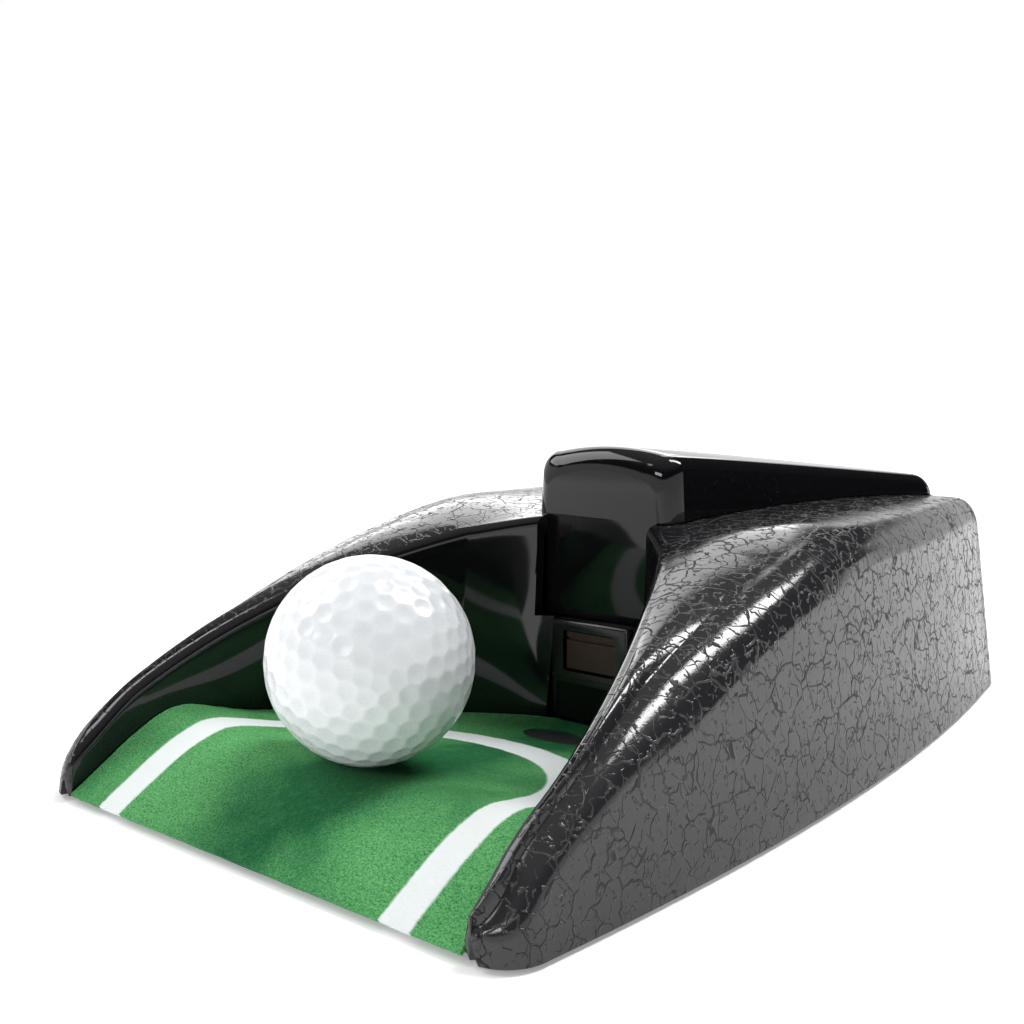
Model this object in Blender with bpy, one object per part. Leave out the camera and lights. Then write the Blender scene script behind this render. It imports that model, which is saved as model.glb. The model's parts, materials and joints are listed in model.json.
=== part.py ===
"""Automatic putting cup: a textured horseshoe shell with a felt ramp and a motor-driven ball kicker.

Frame: metres, +Z up, origin on the floor under the middle of the object, open mouth facing -Y.
All sizes below are millimetres. A depth is measured backwards from the mat's front edge.
"""

from math import atan, cos, hypot, pi, radians, sin, tan

import bmesh
import bpy
from mathutils import Matrix, Vector

MM = 0.001

# Overall sizes
LENGTH = 238.0
WIDTH = 143.2
SHOULDER_HEIGHT = 56.3
NOSE_HEIGHT = 11.3
WALL = 2.2
GAP = 0.3
CUT = 20.0

# Shell plan and section
WIDEST_DEPTH = 95.0
FRONT_PINCH = 5.6
REAR_PINCH = 13.5
PINCH_POWER = 2.0
REAR_BULGE = 5.0
NOSE_RADIUS = 8.5
REAR_CORNER_RADIUS = 11.0
SHOULDER_FULL_DEPTH = 138.0
SHOULDER_POWER = 1.8
NOSE_DROP = 5.0
NOSE_DROP_DEPTH = 18.0
REAR_FALL = 1.2
SHOULDER_RADIUS = 8.5
WALL_DRAFT = radians(7.0)
RIM_RISE = 0.8
TOP_CROWN = 1.6
RIM_RADIUS = 2.6

# Lane
MOUTH_WIDTH = 112.8
LANE_DEPTH = 110.0
LANE_STRAIGHT = 50.0
LANE_FAN_DEPTH = 96.0
LANE_POWER = 1.8
RIM_STRAIGHT = 18.0
RIM_POWER = 1.6
RIM_TUCK = 1.5
RIM_BACK_DEPTH = 118.0

# Floor levels
FOOT_PROUD = 0.6
BASE_LEVEL = 0.9
TRAY_THICK = 1.2
MAT_THICK = 0.8
MAT_FRONT_TOP = 1.9
MAT_CREST_DEPTH = 27.0
MAT_CREST_RISE = 9.1
MAT_RAMP_POWER = 1.65
MAT_SLOPE = 0.146
MAT_EASE = 4.7
MAT_FOOT_EASE = 13.0
TRAY_TOP = BASE_LEVEL + TRAY_THICK
MAT_REAR_TOP = TRAY_TOP + GAP + MAT_THICK
MAT_CREST = MAT_REAR_TOP + MAT_CREST_RISE
RAMP_FRONT = 2.2
RAMP_END = 99.0
RAMP_WALL = 1.6
HOLLOW_FRONT = 9.0
HOLLOW_END = 86.0
RIB_X = 20.0
RIB_THICK = 2.0

# Hood
POST_DEPTH = 113.5
POST_WIDTH = 41.0
APRON_WIDTH = 30.6
TAIL_WIDTH = 84.0
TAIL_DEPTH = 226.0
TAIL_POWER = 1.2
HOOD_HEIGHT = 73.2
HOOD_FALL = 10.9
HOOD_CROWN = 3.0
HOOD_CORNER = 4.5
HOOD_WALL = 2.0
APRON_LAP = 6.0

# Kicker panel and ram
PANEL_DEPTH = 109.2
PANEL_WIDTH = 24.0
PANEL_TOP = 29.0
PANEL_PLATE = 2.0
PANEL_STEP_LEVEL = 14.5
PANEL_STEP = 0.6
WINDOW_WIDTH = 16.0
WINDOW_BOTTOM = 15.9
WINDOW_TOP = 26.4
RAM_CLEARANCE = 0.5
RAM_LENGTH = 32.0
RAM_RECESS = 1.0
RAM_BACK_STROKE = 10.0
RAM_KICK_STROKE = 14.0
TAB_WIDTH = 5.0
TAB_LENGTH = 3.0

# Kicker guide
GUIDE_FRONT = 117.3
GUIDE_LENGTH = 47.0
GUIDE_WALL = 2.0
GUIDE_LEG = 2.6
SPRING_WIRE = 0.45
SPRING_RADIUS = 3.4
SPRING_TURNS = 6

# Gear train
MODULE = 1.0
CAM_TEETH = 34
IDLER_SMALL_TEETH = 10
IDLER_LARGE_TEETH = 30
PINION_TEETH = 10
MESH_EASE = 0.25
GEAR_THICK = 3.6
LARGE_THICK = 3.0
CAM_PLANE = 4.0
GEAR_SPACE = 1.0
CAM_AHEAD = 30.8
PIN_ORBIT = 12.0
PIN_RADIUS = 2.0
AXLE_RADIUS = 1.5
RUNNING_CLEARANCE = 0.08
PLATE_THICK = 2.0
MOTOR_ANGLE = radians(-50.0)
MOTOR_RADIUS = 10.0
MOTOR_LENGTH = 26.0
SHAFT_RADIUS = 1.0

# Trigger
HOLE_DEPTH = 95.5
HOLE_HALF_WIDTH = 9.0
HOLE_HALF_LENGTH = 5.0
TRIGGER_PIVOT_DEPTH = 114.5
TRIGGER_PIVOT_LEVEL = 3.4
TRIGGER_PIN_RADIUS = 0.8
LEVER_WIDTH = 5.6
LEVER_TAIL_TOP = 5.0
SWITCH_BUTTON_DEPTH = 125.0

# Batteries
CELL_RADIUS = 7.25
CELL_LENGTH = 50.5
CELL_NUB = 1.0
CELL_COUNT = 4
CELL_PITCH = 15.0
BAY_FRONT = 168.6
BAY_WALL = 1.6
BAY_END_SPACE = 1.35

# Small fittings
SCREW_HEAD_RADIUS = 2.4
SCREW_SHANK_RADIUS = 1.1
BOSS_RADIUS = 3.4
ARM_OFFSET = 0.4
ARM_SCREW_DEPTH = 38.0
BODY_SCREWS = ((56.0, 118.0), (48.0, 212.0))
SCREW_TOP = 11.0
SEAT_TOP = 2.0
HEAD_POCKET = 1.6
FOOT_RADIUS = 3.5
ARM_FOOT_DEPTH = 23.0
BODY_FOOT = (50.0, 198.0)
JACK_X = -40.0
JACK_LEVEL = 9.0
JACK_NOSE_RADIUS = 4.4
JACK_SOCKET_RADIUS = 3.3
BALL_RADIUS = 21.335
BALL_CONTACT_DEPTH = MAT_CREST_DEPTH + MAT_EASE

ROUND = 24

FINISHES = {
    "textured_abs": ((0.035, 0.035, 0.038), 0.45, 0.0),
    "gloss_abs": ((0.012, 0.012, 0.014), 0.12, 0.0),
    "felt": ((0.03, 0.27, 0.08), 0.95, 0.0),
    "ball_white": ((0.85, 0.86, 0.88), 0.3, 0.0),
    "tray_abs": ((0.03, 0.03, 0.03), 0.6, 0.0),
    "acetal": ((0.75, 0.73, 0.68), 0.4, 0.0),
    "steel": ((0.6, 0.6, 0.6), 0.3, 1.0),
    "red_abs": ((0.35, 0.03, 0.02), 0.45, 0.0),
    "rubber": ((0.02, 0.02, 0.02), 0.9, 0.0),
    "cell_jacket": ((0.08, 0.09, 0.11), 0.4, 0.2),
}


# ---------------------------------------------------------------- helpers


def place(x, depth, z):
    """A point of the object's frame, from millimetres and a depth behind the mat's front edge."""
    return Vector((x, depth - LENGTH / 2, z)) * MM


def finish(name):
    """The material of one finish, made once."""
    material = bpy.data.materials.get(name)
    if material is None:
        colour, roughness, metallic = FINISHES[name]
        material = bpy.data.materials.new(name)
        material.use_nodes = True
        shader = material.node_tree.nodes["Principled BSDF"]
        shader.inputs["Base Color"].default_value = (*colour, 1.0)
        shader.inputs["Roughness"].default_value = roughness
        shader.inputs["Metallic"].default_value = metallic
    return material


def add_object(name, mesh, look=None):
    """Link a mesh into the scene as a named object."""
    obj = bpy.data.objects.new(name, mesh)
    bpy.context.scene.collection.objects.link(obj)
    if look:
        mesh.materials.append(finish(look))
    return obj


def mesh_from(name, points, faces):
    """A mesh with outward normals, from points in metres."""
    mesh = bpy.data.meshes.new(name)
    shape = bmesh.new()
    corners = [shape.verts.new(point) for point in points]
    for face in faces:
        shape.faces.new([corners[i] for i in face])
    bmesh.ops.recalc_face_normals(shape, faces=shape.faces)
    shape.to_mesh(mesh)
    shape.free()
    return mesh


def join_rings(name, rings):
    """A closed mesh through rings of equally many points, with the first and last ring filled."""
    count = len(rings[0])
    points = [point for ring in rings for point in ring]
    faces = []
    for i in range(len(rings) - 1):
        for j in range(count):
            k = (j + 1) % count
            faces.append((i * count + j, i * count + k, (i + 1) * count + k, (i + 1) * count + j))
    faces.append(tuple(range(count)))
    faces.append(tuple((len(rings) - 1) * count + j for j in range(count)))
    return mesh_from(name, points, faces)


def box(name, x, depth, z, look=None):
    """A box between pairs of x, depth and z."""
    ring = [(x[0], depth[0]), (x[1], depth[0]), (x[1], depth[1]), (x[0], depth[1])]
    rings = [[place(px, py, level) for px, py in ring] for level in z]
    return add_object(name, join_rings(name, rings), look)


def prism(name, outline, z, look=None):
    """An upright prism on a plan outline of (x, depth)."""
    rings = [[place(px, py, level) for px, py in outline] for level in z]
    return add_object(name, join_rings(name, rings), look)


def side_prism(name, outline, x, look=None):
    """A prism along X on a side outline of (depth, z)."""
    rings = [[place(px, depth, level) for depth, level in outline] for px in x]
    return add_object(name, join_rings(name, rings), look)


def circle(radius, count=ROUND, turn=0.0):
    """Points (a, b) round a circle, the first at the angle turn."""
    angles = [turn + 2 * pi * i / count for i in range(count)]
    return [(radius * cos(angle), radius * sin(angle)) for angle in angles]


def upright_rod(name, x, depth, z, radius, look=None, count=ROUND):
    """A vertical cylinder."""
    outline = [(x + a, depth + b) for a, b in circle(radius, count)]
    return prism(name, outline, z, look)


def cross_rod(name, depth, level, x, radius, look=None, count=ROUND):
    """A cylinder along X."""
    outline = [(depth + a, level + b) for a, b in circle(radius, count)]
    return side_prism(name, outline, x, look)


def long_rod(name, x, level, depth, radius, look=None, count=ROUND):
    """A cylinder along the depth."""
    ring = circle(radius, count)
    rings = [[place(x + a, d, level + b) for a, b in ring] for d in depth]
    return add_object(name, join_rings(name, rings), look)


def boolean(target, operation, *others):
    """Add one exact Boolean for each other object, which becomes a hidden helper."""
    for other in others:
        modifier = target.modifiers.new(f"{operation.lower()}_{other.name}", "BOOLEAN")
        modifier.operation = operation
        modifier.object = other
        other.hide_render = True
        other.display_type = "WIRE"
    return target


def cut(target, *cutters):
    return boolean(target, "DIFFERENCE", *cutters)


def weld(target, *pieces):
    return boolean(target, "UNION", *pieces)


def pivot_at(obj, x, depth, z):
    """Move the object's origin to a point, leaving its shape where it is."""
    origin = place(x, depth, z)
    obj.data.transform(Matrix.Translation(-origin))
    obj.location = origin
    return obj


def smooth(obj, angle=35.0):
    """Shade a round piece smooth, with its corners kept sharp."""
    obj.data.shade_smooth()
    obj.data.set_sharp_from_angle(angle=radians(angle))
    return obj


# ---------------------------------------------------------------- shared curves


def side_half_width(depth):
    """Half the shell's width at the floor, along its straight sides."""
    if depth < WIDEST_DEPTH:
        share = (WIDEST_DEPTH - depth) / WIDEST_DEPTH
        return WIDTH / 2 - FRONT_PINCH * share**PINCH_POWER
    share = (depth - WIDEST_DEPTH) / (LENGTH - WIDEST_DEPTH)
    return WIDTH / 2 - REAR_PINCH * share**PINCH_POWER


def rear_depth(x):
    """Depth of the bulged rear wall at the floor."""
    return LENGTH - REAR_BULGE * (x / side_half_width(LENGTH)) ** 2


def shoulder_level(depth):
    """Height of the outer shoulder: it rises from the nose, runs level and falls a little at the rear."""
    share = max(0.0, 1.0 - max(depth, 0.0) / SHOULDER_FULL_DEPTH)
    tip = max(0.0, 1.0 - max(depth, 0.0) / NOSE_DROP_DEPTH)
    rear = max(0.0, depth - SHOULDER_FULL_DEPTH) / (LENGTH - SHOULDER_FULL_DEPTH)
    climb = (SHOULDER_HEIGHT - NOSE_HEIGHT) * share**SHOULDER_POWER
    return SHOULDER_HEIGHT - climb - NOSE_DROP * tip**2 - REAR_FALL * rear


def lane_half_width(depth):
    """Half the lane's width at the foot of its wall."""
    share = max(0.0, depth - LANE_STRAIGHT) / (LANE_DEPTH - LANE_STRAIGHT)
    return MOUTH_WIDTH / 2 * max(0.0, 1.0 - share**LANE_POWER) ** (1 / LANE_POWER)


def rim_half_width(depth):
    """Half the lane's width between the rims, which close in on the post."""
    share = max(0.0, depth - RIM_STRAIGHT) / (RIM_BACK_DEPTH - 6.0 - RIM_STRAIGHT)
    closing = MOUTH_WIDTH / 2 - (POST_WIDTH / 2 - RIM_TUCK)
    return MOUTH_WIDTH / 2 - closing * share**RIM_POWER


def mat_top(depth):
    """Height of the felt: a ramp up to the crest, a straight roll down, then flat."""
    if depth <= MAT_CREST_DEPTH:
        share = 1.0 - max(depth, 0.0) / MAT_CREST_DEPTH
        return MAT_CREST - (MAT_CREST - MAT_FRONT_TOP) * share**MAT_RAMP_POWER
    bend_end = MAT_CREST_DEPTH + MAT_EASE
    bend_drop = MAT_SLOPE * MAT_EASE / 2
    if depth <= bend_end:
        return MAT_CREST - bend_drop * ((depth - MAT_CREST_DEPTH) / MAT_EASE) ** 2
    straight = (MAT_CREST - bend_drop - MAT_REAR_TOP) / MAT_SLOPE - MAT_FOOT_EASE / 2
    straight_end = bend_end + straight
    if depth <= straight_end:
        return MAT_CREST - bend_drop - MAT_SLOPE * (depth - bend_end)
    left = max(0.0, 1.0 - (depth - straight_end) / MAT_FOOT_EASE)
    return MAT_REAR_TOP + MAT_SLOPE * MAT_FOOT_EASE / 2 * left**2


def mat_depths():
    """Depths at which the mat and its ramp are cut into strips."""
    ramp = [0.0, 2.0, 4.5, 8.0, 12.0, 16.0, 20.0, 24.0, MAT_CREST_DEPTH]
    roll = [MAT_CREST_DEPTH + MAT_EASE / 2, MAT_CREST_DEPTH + MAT_EASE, 58.0, 84.0, 88.0, 92.5, 98.0]
    return ramp + roll


def outer_line():
    """The shell's right footprint, from the lane's mouth round to the rear centre, as (x, depth)."""
    nose_centre = (side_half_width(NOSE_RADIUS) - NOSE_RADIUS, NOSE_RADIUS)
    nose = []
    for i in range(6):
        angle = radians(-80.0 + 80.0 * i / 5)
        nose.append((nose_centre[0] + NOSE_RADIUS * cos(angle), nose_centre[1] + NOSE_RADIUS * sin(angle)))
    sides = [(side_half_width(depth), depth) for depth in side_depths()]
    corner_start = rear_depth(side_half_width(LENGTH)) - REAR_CORNER_RADIUS
    fan = [LANE_FAN_DEPTH + (corner_start - LANE_FAN_DEPTH) * i / 6 for i in range(1, 7)]
    sides += [(side_half_width(depth), depth) for depth in fan]
    corner_x = side_half_width(corner_start) - REAR_CORNER_RADIUS
    rear_at = rear_depth(corner_x)
    corner = []
    for i in range(1, 5):
        angle = pi / 2 * i / 4
        reach = rear_at - corner_start
        corner.append((corner_x + REAR_CORNER_RADIUS * cos(angle), corner_start + reach * sin(angle)))
    rear = [(corner_x * (1 - i / 4), rear_depth(corner_x * (1 - i / 4))) for i in range(1, 5)]
    return nose + sides + corner + rear


def side_depths():
    """Depths of the stations where a section of an arm lies straight across it."""
    return [NOSE_RADIUS + (LANE_FAN_DEPTH - NOSE_RADIUS) * i / 11 for i in range(1, 12)]


def inner_lines():
    """The lane wall's foot and rim, with one point for each point of outer_line."""
    foot = []
    rim = []
    for i in range(6):
        depth = 0.8 + (NOSE_RADIUS - 0.8) * i / 5
        foot.append((lane_half_width(depth), depth))
        rim.append((rim_half_width(depth) + 0.4, depth + 0.4))
    for depth in side_depths():
        foot.append((lane_half_width(depth), depth))
        rim.append((rim_half_width(depth), depth))
    count = 14
    start = lane_half_width(LANE_FAN_DEPTH)
    rim_start = rim_half_width(LANE_FAN_DEPTH)
    for i in range(1, count + 1):
        share = i / count
        x = start * (1 - share)
        reach = max(0.0, 1.0 - (2 * x / MOUTH_WIDTH) ** LANE_POWER) ** (1 / LANE_POWER)
        foot.append((x, LANE_STRAIGHT + (LANE_DEPTH - LANE_STRAIGHT) * reach))
        bend = sin(share * pi / 2)
        rim.append((rim_start * (1 - share), LANE_FAN_DEPTH + (RIM_BACK_DEPTH - LANE_FAN_DEPTH) * bend))
    return foot, rim


def plan_normals(line):
    """Unit normals to the left of a plan line."""
    normals = []
    for i in range(len(line)):
        before = line[max(i - 1, 0)]
        after = line[min(i + 1, len(line) - 1)]
        run = (after[0] - before[0], after[1] - before[1])
        size = hypot(*run)
        normals.append((-run[1] / size, run[0] / size))
    normals[-1] = (0.0, -1.0) if normals[-1][1] < 0 else (0.0, 1.0)
    return normals


def band_section(outer, foot, rim, inward, away, inset, floor, foot_floor):
    """One section of the horseshoe: up the outer wall, over the top and down the lane wall."""
    top = shoulder_level(outer[1]) - inset
    rim_top = shoulder_level(rim[1]) + RIM_RISE - inset
    ox, oy = outer[0] + inward[0] * inset, outer[1] + inward[1] * inset
    fx, fy = foot[0] + away[0] * inset, foot[1] + away[1] * inset
    rx, ry = rim[0] + away[0] * inset, rim[1] + away[1] * inset
    lean = (top - BASE_LEVEL) * tan(WALL_DRAFT)
    sx, sy = ox + inward[0] * lean, oy + inward[1] * lean
    width = hypot(sx - rx, sy - ry)
    radius = min(SHOULDER_RADIUS - inset, 0.55 * width, 0.6 * top)
    across = ((rx - sx) / width, (ry - sy) / width)
    floor_lean = (floor - BASE_LEVEL) * tan(WALL_DRAFT)
    points = [(ox + inward[0] * floor_lean, oy + inward[1] * floor_lean, floor)]
    low = top - radius
    low_lean = (low - BASE_LEVEL) * tan(WALL_DRAFT)
    points.append((ox + inward[0] * low_lean * 0.5, oy + inward[1] * low_lean * 0.5, (low + BASE_LEVEL) / 2))
    for i in range(5):
        angle = pi / 2 * i / 4
        slide = low_lean + (lean - low_lean) * sin(angle)
        back = radius * (1 - cos(angle))
        px = ox + inward[0] * slide + across[0] * back
        py = oy + inward[1] * slide + across[1] * back
        points.append((px, py, low + radius * sin(angle)))
    rim_radius = min(RIM_RADIUS, 0.3 * width)
    reach = width - radius - rim_radius
    for i in range(1, 4):
        share = i / 4
        run = radius + reach * share
        swell = TOP_CROWN * 4 * share * (1 - share) * min(1.0, width / 12)
        level = top + (rim_top - top) * run / width + swell
        points.append((sx + across[0] * run, sy + across[1] * run, level))
    for i in range(3):
        angle = pi / 2 * i / 2
        run = width - rim_radius + rim_radius * sin(angle)
        level = rim_top - rim_radius * (1 - cos(angle))
        points.append((sx + across[0] * run, sy + across[1] * run, level))
    neck = rim_top - rim_radius
    knee = min(mat_top(foot[1]) + 1.5, 0.6 * neck)
    for share, flare in ((0.4, 0.3), (0.75, 0.75), (1.0, 1.0)):
        level = neck + (knee - neck) * share
        points.append((rx + (fx - rx) * flare, ry + (fy - ry) * flare, level))
    points.append((fx, fy, foot_floor))
    return [place(*point) for point in points]


def band_mesh(name, inset=0.0, floor=BASE_LEVEL, foot_floor=None, skip=0):
    """The solid of the horseshoe, inset on all its walls. skip leaves out stations at the noses."""
    outer = outer_line()
    foot, rim = inner_lines()
    inward = plan_normals(outer)
    away = [(-a, -b) for a, b in plan_normals(foot)]
    lowest = floor if foot_floor is None else foot_floor
    right = []
    for i in range(skip, len(outer)):
        section = band_section(outer[i], foot[i], rim[i], inward[i], away[i], inset, floor, lowest)
        right.append(section)
    mirrored = [[Vector((-point.x, point.y, point.z)) for point in section] for section in right[:-1]]
    return join_rings(name, right + mirrored[::-1])


# ---------------------------------------------------------------- shell and covers


def hood_half_width(depth):
    share = max(0.0, depth - POST_DEPTH) / (TAIL_DEPTH - POST_DEPTH)
    return (POST_WIDTH + (TAIL_WIDTH - POST_WIDTH) * share**TAIL_POWER) / 2


def hood_crown(depth):
    share = max(0.0, depth - POST_DEPTH) / (TAIL_DEPTH - POST_DEPTH)
    return HOOD_HEIGHT - HOOD_FALL * share**1.1


def hood_section(depth, inset, bottom, squeeze=0.0, drop=0.0):
    """One section of the hood across the object, right half then left half."""
    half = hood_half_width(depth) - inset - squeeze
    crown = hood_crown(depth) - inset - drop
    corner = HOOD_CORNER - 0.5 * inset
    edge = crown - HOOD_CROWN
    side = [(half + 0.6, bottom), (half, edge - corner)]
    for i in range(1, 5):
        angle = pi / 2 * i / 4
        side.append((half - corner * (1 - cos(angle)), edge - corner * (1 - sin(angle))))
    for share in (0.66, 0.33):
        x = (half - corner) * share
        side.append((x, crown - HOOD_CROWN * share**2))
    middle = [(0.0, crown)]
    left = [(-x, z) for x, z in reversed(side)]
    return [place(x, depth, z) for x, z in side + middle + left]


def hood_block(name, inset=0.0, bottom=40.0):
    """The hood's outer form, or with an inset the form of its hollow."""
    round_front = HOOD_CORNER - 0.5 * inset
    start = POST_DEPTH + inset
    rings = []
    for i in range(4):
        angle = pi / 2 * i / 3
        pull = round_front * (1 - sin(angle))
        depth = start + round_front * (1 - cos(angle))
        rings.append(hood_section(depth, inset, bottom, squeeze=pull, drop=pull))
    count = 7
    end = TAIL_DEPTH - inset - HOOD_CORNER
    first = start + round_front
    for i in range(1, count + 1):
        rings.append(hood_section(first + (end - first) * i / count, inset, bottom))
    for i in range(1, 4):
        angle = pi / 2 * i / 3
        depth = end + HOOD_CORNER * sin(angle)
        rings.append(
            hood_section(depth, inset, bottom, squeeze=3 * (1 - cos(angle)), drop=5 * (1 - cos(angle)))
        )
    return add_object(name, join_rings(name, rings))


def arm_middle(depth):
    """X of the middle of the shell's right arm at the floor, a little towards the lane."""
    return (side_half_width(depth) + lane_half_width(depth)) / 2 - ARM_OFFSET


def boss_places():
    """Where the base screws stand, as (x, depth, top of the boss)."""
    arm_top = shoulder_level(ARM_SCREW_DEPTH - BOSS_RADIUS) - SHOULDER_RADIUS
    right = [(arm_middle(ARM_SCREW_DEPTH), ARM_SCREW_DEPTH, arm_top)]
    for x, depth in BODY_SCREWS:
        right.append((x, depth, shoulder_level(depth) - WALL / 2))
    return right + [(-x, depth, top) for x, depth, top in right]


def foot_places():
    """Where the rubber feet stand, as (x, depth)."""
    right = [(arm_middle(ARM_FOOT_DEPTH), ARM_FOOT_DEPTH), BODY_FOOT]
    return right + [(-x, depth) for x, depth in right]


def make_outer_shell():
    floor_inside = TRAY_TOP + GAP
    shell = add_object("outer_shell", band_mesh("outer_shell", foot_floor=floor_inside), "textured_abs")
    hollow = add_object("shell_hollow", band_mesh("shell_hollow", WALL, -CUT, -CUT, skip=6))
    cut(shell, hollow)
    boss_foot = TRAY_TOP + SEAT_TOP + GAP
    for i, (x, depth, top) in enumerate(boss_places()):
        weld(shell, upright_rod(f"boss_{i}", x, depth, (boss_foot, top), BOSS_RADIUS, count=16))
        cut(
            shell,
            upright_rod(f"pilot_{i}", x, depth, (-CUT, SCREW_TOP + 3.0), SCREW_SHANK_RADIUS + GAP, count=12)
        )
    half = APRON_WIDTH / 2 + GAP
    notch = box("apron_notch", (-half, half), (LANE_DEPTH - CUT, 121.0), (PANEL_TOP, HOOD_HEIGHT))
    half = PANEL_WIDTH / 2 + GAP
    panel_notch = box("panel_notch", (-half, half), (LANE_DEPTH - CUT, 122.0), (-CUT, PANEL_TOP + 1.0))
    opening = [(-16.4, 119.5), (16.4, 119.5), (22.0, 184.0), (-22.0, 184.0)]
    gear_opening = prism("gear_opening", opening, (SHOULDER_HEIGHT - 12.0, HOOD_HEIGHT))
    socket = long_rod("jack_hole", JACK_X, JACK_LEVEL, (LENGTH - 30.0, LENGTH + CUT), JACK_NOSE_RADIUS + GAP)
    cut(shell, notch, panel_notch, gear_opening, socket)


def make_hood_cover():
    """The glossy motor hood with its front apron, resting on the shell's top."""
    hood = hood_block("hood_cover")
    hood.data.materials.append(finish("gloss_abs"))
    half = APRON_WIDTH / 2
    apron_top = SHOULDER_HEIGHT + APRON_LAP
    apron = box(
        "apron", (-half, half), (POST_DEPTH, POST_DEPTH + 2 * HOOD_WALL), (PANEL_TOP + GAP, apron_top)
    )
    clear_shell = add_object("shell_clearance", band_mesh("shell_clearance", -GAP, floor=-5.0))
    hollow = hood_block("hood_hollow", inset=HOOD_WALL, bottom=PANEL_TOP)
    inner = half - HOOD_WALL
    back = POST_DEPTH + HOOD_WALL
    apron_hollow = box("apron_hollow", (-inner, inner), (back, back + CUT), (0.0, apron_top + HOOD_WALL))
    cut(hood, clear_shell)
    weld(hood, apron)
    cut(hood, hollow, apron_hollow)


def make_kicker_panel():
    """The box front of the kicker, with the window that the ram strikes through."""
    half = PANEL_WIDTH / 2
    back = POST_DEPTH + 1.6
    bottom = MAT_REAR_TOP + GAP
    panel = box("kicker_panel", (-half, half), (PANEL_DEPTH, back), (bottom, PANEL_TOP), "gloss_abs")
    step = box(
        "panel_step", (-CUT, CUT), (PANEL_DEPTH - CUT, PANEL_DEPTH + PANEL_STEP), (-CUT, PANEL_STEP_LEVEL)
    )
    inner = half - PANEL_PLATE
    hollow = box(
        "panel_hollow", (-inner, inner), (PANEL_DEPTH + PANEL_PLATE, back + CUT),
        (-CUT, PANEL_TOP - PANEL_PLATE)
    )
    window_half = WINDOW_WIDTH / 2
    window = box(
        "panel_window", (-window_half, window_half), (PANEL_DEPTH - CUT, back), (WINDOW_BOTTOM, WINDOW_TOP)
    )
    cut(panel, step, hollow, window)


# ---------------------------------------------------------------- lane


def lane_form(name, depths, side_gap, top_drop, floor):
    """A solid as wide as the lane less side_gap, its top the felt's surface lowered by top_drop."""
    rings = []
    for depth in depths:
        half = lane_half_width(depth + side_gap / 2) - side_gap
        top = max(mat_top(depth) - top_drop, floor + 0.2)
        rings.append(
            [place(x, depth, z) for x, z in ((-half, floor), (half, floor), (half, top), (-half, top))]
        )
    return add_object(name, join_rings(name, rings))


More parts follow.
